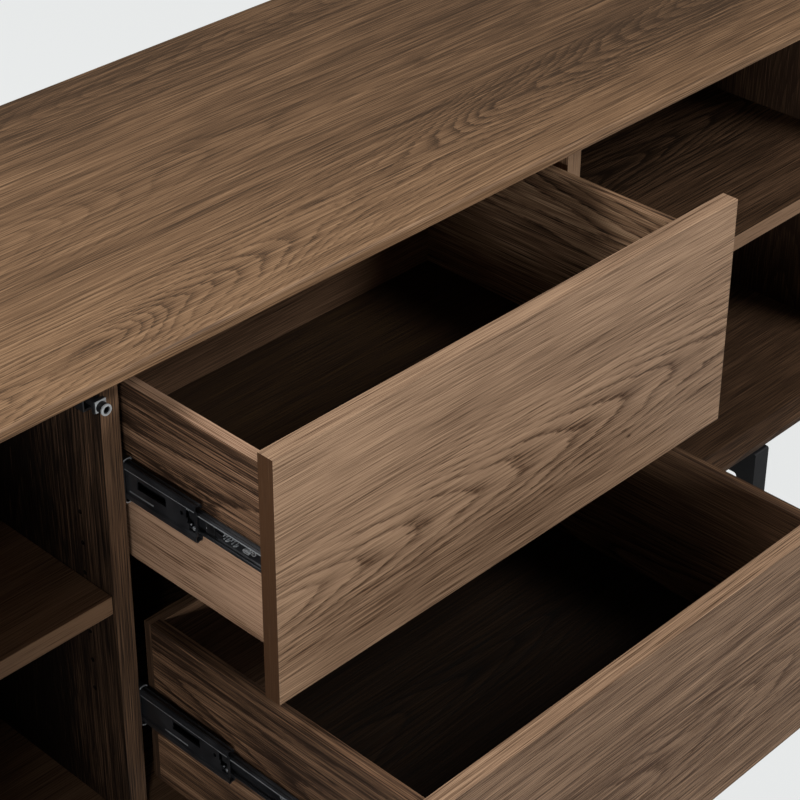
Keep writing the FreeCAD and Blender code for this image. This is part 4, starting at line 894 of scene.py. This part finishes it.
    @staticmethod
    def combine(piece: bpy.types.Object, others: Sequence[bpy.types.Object],
                operation: str = "DIFFERENCE") -> bpy.types.Object:
        """Cut other shapes out of a piece or add them to it, and put them away.

        Args:
            piece: The piece.
            others: The shapes.
            operation: Blender's name of what is done with them.

        Returns:
            The piece.
        """
        for other in others:
            Bench.finish_with(piece, "BOOLEAN", operation=operation, object=other, solver="EXACT")
            bpy.data.objects.remove(other)
        return piece

    @staticmethod
    def join(pieces: Sequence[bpy.types.Object],
             angle: float | None = 32.0) -> bpy.types.Object:
        """Join pieces into one mesh, and shade it smoothly unless no angle is given.

        Args:
            pieces: The pieces.
            angle: The angle in degrees past which an edge stays sharp, or None.

        Returns:
            The joined piece.
        """
        Bench.clear()
        for piece in pieces:
            piece.select_set(True)
        bpy.context.view_layer.objects.active = pieces[0]
        if len(pieces) > 1:
            bpy.ops.object.join()
        return pieces[0] if angle is None else Bench.smooth(pieces[0], angle)

    @staticmethod
    def smooth(piece: bpy.types.Object, angle: float = 32.0) -> bpy.types.Object:
        """Shade a piece smoothly, and keep its sharp edges.

        Args:
            piece: The piece.
            angle: The angle in degrees past which an edge is sharp.

        Returns:
            The piece.
        """
        Bench.take(piece)
        bpy.ops.object.shade_smooth_by_angle(angle=math.radians(angle))
        return piece

    @staticmethod
    def copy(piece: bpy.types.Object, name: str, place: Sequence[float],
             turn: Sequence[float] = (0.0, 0.0, 0.0)) -> bpy.types.Object:
        """Copy a piece with its own mesh to a new place, and apply the place.

        Args:
            piece: The piece to copy.
            name: The copy's name.
            place: Where the pattern's origin goes.
            turn: Rotation about X, Y and Z, in degrees.

        Returns:
            The copy.
        """
        twin = piece.copy()
        twin.data = piece.data.copy()
        twin.name = name
        bpy.context.scene.collection.objects.link(twin)
        Bench.take(twin)
        twin.rotation_euler = [math.radians(a) for a in turn]
        twin.location = Vector(place) * MM
        return Bench.settle()

    @staticmethod
    def discard(*patterns: bpy.types.Object) -> None:
        """Put away the patterns that copies were taken from."""
        for pattern in patterns:
            bpy.data.objects.remove(pattern)


@dataclass
class ScrewPattern:
    """A pan head with a cross recess, made once and copied.

    The head's seat is at the origin and it rises along +Z.
    """

    radius: float = 3.4
    height: float = 1.5
    crown: float = 0.25
    recess: float = 2.1
    recess_depth: float = 1.2
    blade: float = 0.75

    def build(self) -> bpy.types.Object:
        """Build the head.

        Returns:
            The head.
        """
        head = Bench.drum((0, 0, self.height / 2), self.radius, self.height, Grain.HEIGHT, 28)
        Bench.sink(lambda f: f.normal.z > 0.9, self.radius * 0.35, (0, 0, self.crown))
        Bench.soften(head, 0.35, 2, ROUND_ANGLE)
        top = (0, 0, self.height + self.crown)
        cross = [Bench.block(top, (*size, self.recess_depth * 2))
                 for size in ((self.recess * 2, self.blade), (self.blade, self.recess * 2))]
        cone = Bench.drum(top, self.blade * 1.1, self.recess_depth * 2.2, Grain.HEIGHT, 12)
        return Bench.smooth(Bench.combine(head, [*cross, cone]), 40.0)


@dataclass
class Slide:
    """One telescopic drawer slide: its three folded members, ball cage, cam, lever and rivets.

    Its pattern lies with the wall at x = 0, the member's front end at y = 0 and its middle at
    z = 0. Places and sizes are along X, Y and Z.
    """

    length: float = 345.0
    wall: float = 1.1
    wall_x: float = 278.2
    screw_front: float = 30.0
    cabinet_section: tuple[tuple[float, float], ...] = (
        (0.62, 18.2), (0.9, 20.2), (2.2, 21.5), (4.4, 21.85), (6.7, 21.6), (8.2, 20.8), (8.9, 19.4))
    middle_section: tuple[tuple[float, float], ...] = (
        (3.9, 11.2), (2.35, 12.6), (2.35, 16.6), (2.9, 17.6), (4.0, 17.9), (5.2, 17.1), (6.6, 16.9),
        (7.9, 17.5), (8.7, 16.8), (8.9, 14.2))
    drawer_section: tuple[tuple[float, float], ...] = (
        (12.1, 6.6), (11.5, 8.6), (10.2, 9.7), (8.8, 9.6), (7.6, 9.1), (6.3, 9.7), (5.4, 8.8),
        (5.3, 7.4))
    # where each member's flat web stands off the wall, and how deep every cutter goes through it
    cabinet_web: float = 0.6
    middle_web: float = 3.9
    drawer_web: float = 12.1
    through: float = 6.0
    cabinet_hole: float = 3.5
    middle_hole: float = 2.3
    drawer_hole: float = 2.2
    # slots by how far they are behind the front end, and in the floating member by length too
    cabinet_slots: tuple[float, ...] = (62.0, 250.0)
    middle_slots: tuple[tuple[float, float], ...] = ((128.0, 26.0), (235.0, 40.0))
    drawer_slots: tuple[float, ...] = (7.5, 52.0, 215.0, 300.0)
    # openings by their middle behind the front end and above the middle, their length and height
    cabinet_window: tuple[float, ...] = (118.0, 0.0, 16.0, 9.0)
    middle_window: tuple[float, ...] = (56.0, 2.4, 36.0, 9.2)
    latch_opening: tuple[tuple[float, ...], ...] = (
        (11.4, 5.4, 5.0, 9.6), (7.6, -0.6, 9.4, 6.8), (6.4, -6.4, 8.0, 7.2))
    # painted highlights: thin bright strips along the folds, by place across, height, width,
    # thickness, start and length
    middle_highlight_lines: tuple[tuple[float, ...], ...] = (
        (1.75, 12.6, 0.7, 0.5, 1.0, 343.0), (3.25, -9.0, 1.2, 0.5, 54.0, 30.0))
    drawer_highlight_lines: tuple[tuple[float, ...], ...] = ((4.7, 8.2, 1.0, 0.5, 1.0, 343.0),)
    # the ball cage: its strip's section and length, its web's middle and size, and its balls
    cage_section: tuple[tuple[float, float], ...] = (
        (5.0, 10.9), (6.4, 11.35), (8.2, 11.35), (9.2, 10.9))
    cage_length: float = 84.0
    cage_wall: float = 0.5
    cage_web: tuple[tuple[float, float, float], ...] = ((4.95, 72.0, 0.0), (0.5, 20.0, 22.2))
    first_ball: tuple[float, float, float] = (7.3, 6.0, 12.7)
    ball_count: int = 10
    ball_pitch: float = 8.0
    ball_radius: float = 1.75
    # the cam's two wheels: middle behind the front end and radius
    wheels: tuple[tuple[float, float], ...] = ((51.0, 3.1), (60.5, 2.9))
    wheel_x: float = 10.0
    wheel_z: float = -1.2
    teeth: int = 7
    tooth: tuple[float, float, float] = (3.0, 0.8, 0.9)
    tooth_growth: float = 0.4  # how much longer each of the next two teeth is
    # a small stud by its middle and radius; the eye and its hollow by middle, length and height
    stud: tuple[Any, ...] = ((9.4, 84.0, -3.0), 0.9)
    eye: tuple[Any, ...] = ((10.9, 36.0, -1.4), 7.6, 3.6)
    eye_hollow: tuple[Any, ...] = ((10.9, 36.0, -1.9), 5.0, 1.3)
    # the lever's grip and tail, by middle and size
    grip: tuple[tuple[float, float, float], ...] = ((9.6, 79.0, 0.8), (2.8, 11.0, 14.0))
    tail: tuple[tuple[float, float, float], ...] = ((10.2, 72.0, -3.6), (1.6, 12.0, 3.2))
    # the stop's rivet and its pin, by middle, radius and length
    rivet: tuple[Any, ...] = ((5.2, 5.4, -7.4), 1.9, 1.6)
    pin: tuple[Any, ...] = ((4.4, 8.2, -4.2), 0.8, 1.4)

    def member(self, half: Sequence[tuple[float, float]],
               cutters: Sequence[bpy.types.Object]) -> bpy.types.Object:
        """Fold a member from half of its section, and pierce it.

        Args:
            half: The upper half of its section.
            cutters: The shapes that are cut out of it.

        Returns:
            The member.
        """
        lower = [(x, -z) for x, z in reversed(half)]
        folded = Bench.fold([*lower, *half], self.length, self.wall)
        return Bench.smooth(Bench.combine(folded, cutters))

    def hole(self, web: float, y: float, radius: float, sides: int,
             z: float = 0.0) -> bpy.types.Object:
        """Make the cutter of a round hole through a web."""
        return Bench.drum((web, y, z), radius, self.through, Grain.LENGTH, sides)

    def window(self, web: float, opening: Sequence[float]) -> bpy.types.Object:
        """Make the cutter of a square opening, given as the fields give them."""
        y, z, length, height = opening
        return Bench.block((web, y, z), (self.through, length, height))

    def slot(self, centre: Sequence[float], length: float, height: float) -> bpy.types.Object:
        """Make the cutter of a slot with round ends.

        Args:
            centre: Its middle.
            length: Its length along Y.
            height: Its height.

        Returns:
            The cutter.
        """
        x, y, z = centre
        straight = length - height
        middle = Bench.block(centre, (self.through, straight, height))
        Bench.soften(middle, 0.01, 1)
        ends = [Bench.drum((x, y + s * straight / 2, z), height / 2, self.through, Grain.LENGTH, 20)
                for s in (-1, 1)]
        return Bench.combine(middle, ends, "UNION")

    def cabinet_pattern(self) -> bpy.types.Object:
        """Fold the fixed member and pierce it for its screws and its fitting slots.

        Returns:
            The fixed member.
        """
        web = self.cabinet_web
        return self.member(self.cabinet_section, [
            *(self.hole(web, y, self.cabinet_hole, 24) for y in self.screw_places()),
            *(self.slot((web, y, 0), 12.0, 4.4) for y in self.cabinet_slots),
            self.window(web, self.cabinet_window)])

    def middle_pattern(self) -> bpy.types.Object:
        """Fold the floating member and cut its slots, its rivet hole and its latch opening.

        Returns:
            The floating member.
        """
        web = self.middle_web
        return self.member(self.middle_section, [
            self.window(web, self.middle_window),
            self.hole(web, 19.0, self.middle_hole, 24, 2.4),
            *(self.window(web, opening) for opening in self.latch_opening),
            *(self.slot((web, y, 0), length, 8.0) for y, length in self.middle_slots)])

    def drawer_pattern(self) -> bpy.types.Object:
        """Fold the drawer's member and pierce it for its screws and oval slots.

        Returns:
            The drawer's member.
        """
        web = self.drawer_web
        return self.member(self.drawer_section, [
            *(self.hole(web, y, self.drawer_hole, 20) for y in self.screw_places()),
            *(self.slot((web, y, 1.6), 8.5, 3.8) for y in self.drawer_slots)])

    def cage_pattern(self) -> bpy.types.Object:
        """Make the ball cage between the floating and the drawer's member, with its web.

        Returns:
            The cage.
        """
        parts = []
        x, y, z = self.first_ball
        for sign in (-1, 1):
            section = [(across, height * sign) for across, height in self.cage_section]
            parts.append(Bench.fold(section, self.cage_length, self.cage_wall))
            parts += [Bench.ball((x, y + self.ball_pitch * k, z * sign), self.ball_radius)
                      for k in range(self.ball_count)]
        web = Bench.soften(Bench.block(*self.cage_web), 0.12, 1)
        return Bench.join([*parts, web], ROUND_ANGLE)

    def lever_pattern(self) -> bpy.types.Object:
        """Shape the moulded release lever with its hollow grip and its tail.

        Returns:
            The lever.
        """
        body = Bench.block(*self.grip)
        Bench.sink(lambda f: f.normal.x < -0.9, 1.2, (0.7, 0, 0))
        Bench.soften(body, 0.45, 2)
        tail = Bench.soften(Bench.block(*self.tail), 0.5, 2)
        return Bench.join([body, tail])

    def rivet_pattern(self) -> bpy.types.Object:
        """Turn the bright rivet that holds the stop in the floating member, and its small pin.

        Returns:
            Both as one piece.
        """
        rivet = Bench.drum(*self.rivet, Grain.LENGTH, 24)
        Bench.soften(rivet, 0.6, 3, ROUND_ANGLE)
        pin = Bench.drum(*self.pin, Grain.LENGTH, 16)
        return Bench.join([rivet, Bench.soften(pin, 0.4, 2, ROUND_ANGLE)], ROUND_ANGLE)

    def highlight_pattern(self, section: Sequence[tuple[float, float]],
                     lines: Sequence[Sequence[float]]) -> bpy.types.Object:
        """Make a member's painted highlights: thin bright strips at its front end and along its
        folds.

        Args:
            section: Half of the member's section, or nothing where its end is hidden.
            lines: Place across, height, width, thickness, start and length of each line.

        Returns:
            The highlights as one piece.
        """
        strips = []
        for half in (section, [(x, -z) for x, z in section]) if section else ():
            rim = Bench.fold(half, 0.5, self.wall + 0.04)
            Bench.take(rim)
            bpy.ops.transform.translate(value=(0, -0.15 * MM, 0))
            strips.append(Bench.settle())
        for x, z, width, thickness, start, length in lines:
            strip = Bench.block((x, start + length / 2, z), (thickness, length, width))
            strips.append(Bench.soften(strip, 0.12, 1))
        return Bench.join(strips)

    def cam_pattern(self) -> bpy.types.Object:
        """Shape the toothed cam and the oval eye in the front of the drawer's member.

        Returns:
            The cam with its eye.
        """
        pieces = []
        for y, radius in self.wheels:
            for k in range(self.teeth):
                angle = 2 * math.pi * (k + 0.3) / self.teeth
                place = (self.wheel_x, y + radius * math.cos(angle),
                         radius * math.sin(angle) + self.wheel_z)
                thick, long, high = self.tooth
                tooth = Bench.block(place, (thick, long + self.tooth_growth * (k % 3), high))
                pieces.append(Bench.soften(tooth, 0.2, 2))
        pieces.append(Bench.ball(*self.stud))
        eye = Bench.combine(self.slot(*self.eye), [self.slot(*self.eye_hollow)])
        return Bench.join([*pieces, eye], ROUND_ANGLE)

    def screw_places(self) -> tuple[float, float, float]:
        """List how far behind the front end the screws stand."""
        return self.screw_front, self.length / 2, self.length - self.screw_front


def hand_over(book: FinishBook, piece: bpy.types.Object, name: str, body: str, finish: str,
              *stands_for: str) -> None:
    """Name and dress a new piece, put it on its body and let it stand for CAD nodes.

    Args:
        book: The finishes.
        piece: The new piece.
        name: Its name.
        body: The moving body that it rides on.
        finish: The name of its finish.
        *stands_for: The CAD nodes that it takes the place of.
    """
    piece.name = name
    book.dress(piece, finish)
    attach(piece, body)
    if stands_for:
        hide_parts(*stands_for)


@dataclass
class Slides:
    """All four slides, placed from their patterns and put on their bodies."""

    book: FinishBook
    slide: Slide = field(default_factory=Slide)
    # each drawer's name, its slides' height, and where its floating and drawer members start
    levels: tuple[tuple[str, float, float, float], ...] = (
        ("upper", 381.75, -264.54, -353.6), ("lower", 138.75, -290.86, -522.5))
    case_front: float = -178.0
    cage_behind: float = 26.0
    # how far a screw's seat stands off the wall, on the case's side and on the drawer box's
    case_seat: float = 0.9
    box_seat: float = 11.6

    def build(self) -> None:
        """Build the patterns once and copy them to the four slides."""
        slide = self.slide
        patterns = {"fixed_member": slide.cabinet_pattern(),
                    "floating_member": slide.middle_pattern(),
                    "box_member": slide.drawer_pattern(), "ball_cage": slide.cage_pattern(),
                    "lever": slide.lever_pattern(), "rivets": slide.rivet_pattern(),
                    "cabinet_painted_highlights": slide.highlight_pattern(slide.cabinet_section[1:], ()),
                    "middle_painted_highlights": slide.highlight_pattern((), slide.middle_highlight_lines),
                    "drawer_painted_highlights": slide.highlight_pattern((), slide.drawer_highlight_lines),
                    "cam": slide.cam_pattern()}
        head = ScrewPattern().build()
        for level, height, middle_y, drawer_y in self.levels:
            box = level + "_drawer"
            for side, sign in (("left", -1), ("right", 1)):
                title = "%s_%s" % (box, side)
                floating = "%s_%s_slide" % (level, side)
                levers = [box + "_release_levers"] if side == "left" else []
                for part, front, body, finish, stands_for in (
                        ("fixed_member", self.case_front, "case", SLIDE_STEEL,
                         [title + "_cabinet_member"]),
                        ("floating_member", middle_y, floating, SLIDE_STEEL,
                         [title + "_middle_member"]),
                        ("box_member", drawer_y, box, SLIDE_STEEL, [title + "_drawer_member"]),
                        ("ball_cage", middle_y + self.cage_behind, floating, SLIDE_STEEL, []),
                        # painted highlights: thin bright strips on each member
                        ("cabinet_painted_highlights", self.case_front, "case", RIVET_AND_HIGHLIGHT_STEEL, []),
                        ("middle_painted_highlights", middle_y, floating, RIVET_AND_HIGHLIGHT_STEEL, []),
                        ("drawer_painted_highlights", drawer_y, box, RIVET_AND_HIGHLIGHT_STEEL, []),
                        ("cam", drawer_y, box, PLATED_STEEL, []),
                        ("rivets", middle_y, floating, RIVET_AND_HIGHLIGHT_STEEL, []),
                        ("lever", drawer_y, box, BLACK_PLASTIC, levers)):
                    name = "%s_%s" % (title, part)
                    piece = Bench.copy(patterns[part], name,
                                       (sign * slide.wall_x, front, height),
                                       (0, 0, 0) if sign < 0 else (0, 180, 0))
                    hand_over(self.book, piece, name, body, finish, *stands_for)
                self.add_heads(head, title + "_case_screw_heads", "case", PLATED_STEEL,
                               (sign * (slide.wall_x - self.case_seat), self.case_front, height),
                               -sign)
                self.add_heads(head, title + "_box_screw_heads", box, SLIDE_STEEL,
                               (sign * (slide.wall_x - self.box_seat), drawer_y, height), sign)
            LOG.info("built the %s drawer's slides", level)
        Bench.discard(head, *patterns.values())

    def add_heads(self, head: bpy.types.Object, name: str, body: str, finish: str,
                  start: Sequence[float], facing: int) -> None:
        """Put crossed heads on the three screws of a member.

        Args:
            head: The pattern of a head.
            name: The name of the joined heads.
            body: The moving body that they ride on.
            finish: The name of their finish.
            start: The place of the member's front end.
            facing: The way that they look along X, as 1 or -1.
        """
        x, y, z = start
        heads = [Bench.copy(head, "head", (x, y + behind, z), (0, 90 * facing, 0))
                 for behind in self.slide.screw_places()]
        hand_over(self.book, Bench.join(heads, None), name, body, finish)


@dataclass
class Latch:
    """The push latch under the top, with its pale-rimmed collar, its barrel and its magnet ring."""

    book: FinishBook
    x: float = -305.2
    z: float = 475.8
    front: float = -177.0
    tip: float = -198.0
    housing_x: float = -305.0
    housing: tuple[float, float, float] = (15.6, 41.0, 18.0)
    pocket: tuple[float, float, float] = (12.7, 12.5, 12.7)
    bore: tuple[float, float] = (3.95, 31.4)  # radius and length
    collar: tuple[float, float, float] = (12.0, 3.8, 12.0)
    rim: tuple[float, float, float] = (10.8, 1.2, 10.8)
    # round shapes by how far their middle is behind the tip, their radius and their length
    stem: tuple[float, float, float] = (22.0, 3.6, 20.0)
    barrel: tuple[float, float, float] = (5.0, 4.95, 7.6)
    rim_bore: tuple[float, float, float] = (8.2, 5.0, 6.0)
    ring: tuple[float, float, float] = (1.1, 5.2, 2.2)
    ring_bore: tuple[float, float, float] = (0.5, 3.5, 3.0)
    magnet: tuple[float, float, float] = (1.5, 3.3, 1.6)

    def at(self, behind: float, start: float | None = None) -> tuple[float, float, float]:
        """Give the place on the latch's axis that lies behind its tip, or behind a start."""
        return self.x, (self.tip if start is None else start) + behind, self.z

    def turned(self, shape: Sequence[float], sides: int = 40) -> bpy.types.Object:
        """Turn a round shape on the plunger's axis, given as the fields give it."""
        behind, radius, length = shape
        return Bench.drum(self.at(behind), radius, length, Grain.DEPTH, sides)

    def give(self, piece: bpy.types.Object, name: str, finish: str, *stands_for: str) -> None:
        """Hand over a smooth piece that rides on the plunger."""
        hand_over(self.book, Bench.smooth(piece), name, "latch_plunger", finish, *stands_for)

    def build(self) -> None:
        """Build the housing, the plunger, its rim, the ring and the magnet."""
        place = (self.housing_x, self.front + self.housing[1] / 2, self.z)
        housing = Bench.soften(Bench.block(place, self.housing), 0.8, 3)
        pocket = Bench.block(self.at(4.0, self.front), self.pocket)
        bore = Bench.drum(self.at(14.0, self.front), *self.bore, Grain.DEPTH, 40)
        Bench.smooth(Bench.combine(housing, [pocket, bore]))
        hand_over(self.book, housing, "latch_housing", "case", BLACK_PLASTIC, "latch_body")

        collar = Bench.soften(Bench.block(self.at(10.6), self.collar), 0.5, 2)
        stem = Bench.soften(self.turned(self.stem), 0.3, 2, ROUND_ANGLE)
        barrel = Bench.soften(self.turned(self.barrel, 48), 0.4, 2, ROUND_ANGLE)
        self.give(Bench.join([collar, stem, barrel], None), "latch_plunger_body", BLACK_PLASTIC,
                  "latch_nose")

        x, y, z = self.at(8.2)
        rim = Bench.soften(Bench.block((x + 0.3, y, z + 0.5), self.rim), 0.4, 2)
        self.give(Bench.combine(rim, [self.turned(self.rim_bore)]), "latch_rim", WHITE_PLASTIC)

        ring = Bench.soften(self.turned(self.ring, 56), 0.6, 3, ROUND_ANGLE)
        self.give(Bench.combine(ring, [self.turned(self.ring_bore, 48)]), "latch_collar",
                  WHITE_PLASTIC, "latch_ring")

        magnet = self.turned(self.magnet)
        Bench.sink(lambda f: f.normal.y < -0.9, 1.2, (0, 0.5, 0))
        self.give(Bench.soften(magnet, 0.3, 2, ROUND_ANGLE), "latch_magnet_disc", SLIDE_STEEL,
                  "latch_magnet")
        LOG.info("built the latch")


@dataclass(frozen=True)
class Lamp:
    """A square soft lamp, aimed at the sideboard from an azimuth and an elevation."""

    name: str
    azimuth: float
    elevation: float
    distance: float
    size: float
    power: float


@dataclass
class Room:
    """The pale floor and backdrop, the lamps and the camera."""

    floor_z: float = -175.0
    floor_size: float = 16000.0
    lens: float = 101.79
    shift_y: float = -0.125
    yaw: float = 45.943
    pitch: float = 31.05
    roll: float = 0.258
    eye: tuple[float, float, float] = (-1213.26, -1398.50, 1474.35)
    aim: tuple[float, float, float] = (0.0, -150.0, 300.0)
    sensor: float = 36.0
    nearest: float = 0.1
    farthest: float = 50.0
    ambient: float = 0.1
    glow: float = 0.75
    lamps: tuple[Lamp, ...] = (Lamp("front_left", -50.0, 7.0, 3300.0, 500.0, 36.0),
                               Lamp("left", -75.0, 12.0, 3300.0, 500.0, 14.0),
                               Lamp("front_right", 35.0, 38.0, 3300.0, 800.0, 46.0),
                               Lamp("top_light", -125.0, 55.0, 3300.0, 1900.0, 76.0))

    def build(self) -> None:
        """Build the floor, the light and the camera."""
        self.lay_floor()
        self.light_world()
        self.hang_lamps()
        self.set_camera()

    def lay_floor(self) -> None:
        """Lay the floor: pale to the object, and nearly white to the camera but for its shadow."""
        bpy.ops.mesh.primitive_plane_add(size=self.floor_size * MM,
                                         location=(0, 0, self.floor_z * MM))
        floor = Bench.settle()
        floor.name = "floor"
        material, tree, shader = fresh_material("pale_floor")
        shader.inputs["Base Color"].default_value = linear("c9cbca")
        shader.inputs["Roughness"].default_value = 0.8
        glow = add(tree, "ShaderNodeEmission", {"Color": linear("fcfefe"), "Strength": 1.0})
        rays = add(tree, "ShaderNodeLightPath").outputs["Is Camera Ray"]
        share = add(tree, "ShaderNodeMath", {0: rays, 1: self.glow}, operation="MULTIPLY")
        both = add(tree, "ShaderNodeMixShader", {0: share.outputs[0], 1: shader.outputs[0],
                                                 2: glow.outputs[0]})
        tree.links.new(both.outputs[0], tree.nodes["Material Output"].inputs["Surface"])
        floor.data.materials.append(material)

    def light_world(self) -> None:
        """Give the world a soft light, and a pale backdrop for camera and transmission rays."""
        world = bpy.data.worlds.new("studio")
        bpy.context.scene.world = world
        world.use_nodes = True
        tree = world.node_tree
        tree.nodes.clear()
        light = add(tree, "ShaderNodeBackground", {"Color": linear("ffffff"),
                                                   "Strength": self.ambient})
        seen = add(tree, "ShaderNodeBackground", {"Color": linear("e9ecec"), "Strength": 1.0})
        rays = add(tree, "ShaderNodeLightPath")
        either = add(tree, "ShaderNodeMath", {0: rays.outputs["Is Camera Ray"],
                                              1: rays.outputs["Is Transmission Ray"]},
                     operation="MAXIMUM")
        both = add(tree, "ShaderNodeMixShader", {0: either.outputs[0], 1: light.outputs[0],
                                                 2: seen.outputs[0]})
        add(tree, "ShaderNodeOutputWorld", {"Surface": both.outputs[0]})

    def hang_lamps(self) -> None:
        """Hang the soft lamps: three in front, and a broad one high at the back left."""
        for lamp in self.lamps:
            light = bpy.data.lights.new(lamp.name, "AREA")
            light.shape = "SQUARE"
            light.size = lamp.size * MM
            light.energy = lamp.power
            holder = bpy.data.objects.new(lamp.name, light)
            bpy.context.scene.collection.objects.link(holder)
            side, rise = math.radians(lamp.azimuth), math.radians(lamp.elevation)
            back = Vector((math.sin(side) * math.cos(rise), -math.cos(side) * math.cos(rise),
                           math.sin(rise)))
            holder.location = (Vector(self.aim) + back * lamp.distance) * MM
            holder.rotation_euler = (-back).to_track_quat("-Z", "Y").to_euler()

    def set_camera(self) -> None:
        """Set the camera that was solved from the photograph."""
        yaw, pitch, roll = (math.radians(a) for a in (self.yaw, self.pitch, self.roll))
        ahead = Vector((math.sin(yaw) * math.cos(pitch), math.cos(yaw) * math.cos(pitch),
                        -math.sin(pitch)))
        right = Vector((math.cos(yaw), -math.sin(yaw), 0.0))
        up = right.cross(ahead)
        turned_right = math.cos(roll) * right + math.sin(roll) * up
        turned_up = -math.sin(roll) * right + math.cos(roll) * up
        lens = bpy.data.cameras.new("camera")
        lens.sensor_width = self.sensor
        lens.lens = self.lens
        lens.shift_y = self.shift_y
        lens.clip_start = self.nearest
        lens.clip_end = self.farthest
        camera = bpy.data.objects.new("camera", lens)
        bpy.context.scene.collection.objects.link(camera)
        rotation = Matrix((turned_right, turned_up, -ahead)).transposed().to_4x4()
        camera.matrix_world = Matrix.Translation(Vector(self.eye) * MM) @ rotation
        bpy.context.scene.camera = camera


@dataclass
class Carcass:
    """The case, the drawers and the fittings that keep their CAD shapes."""

    nodes: dict[str, bpy.types.Object]
    book: FinishBook

    def build(self) -> None:
        """Dress each CAD node."""
        for name, piece in self.nodes.items():
            self.book.dress(piece, self.finish_of(name))

    def finish_of(self, name: str) -> str:
        """Choose the finish of a node.

        Args:
            name: The node's name.

        Returns:
            The name of the finish.
        """
        if name in FINISH_BY_NODE:
            return FINISH_BY_NODE[name]
        for level in ("upper_drawer_", "lower_drawer_"):
            part = name.removeprefix(level)
            if part in DRAWER_FINISHES:
                return DRAWER_FINISHES[part].replace("%s", level.split("_")[0])
            if part.endswith("_member"):
                return SLIDE_STEEL
        return PLATED_STEEL


def main() -> None:
    """Build the whole scene in order."""
    logging.basicConfig(level=logging.INFO, format="%(message)s")
    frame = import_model()
    bpy.ops.object.select_all(action="DESELECT")
    bpy.context.scene.view_settings.view_transform = "Standard"
    book = FinishBook()
    book.build()
    LOG.info("built %d finishes", len(book.made))
    Carcass(frame["nodes"], book).build()
    LOG.info("dressed %d nodes", len(frame["nodes"]))
    Slides(book).build()
    Latch(book).build()
    Room().build()


if __name__ == "__main__":
    main()
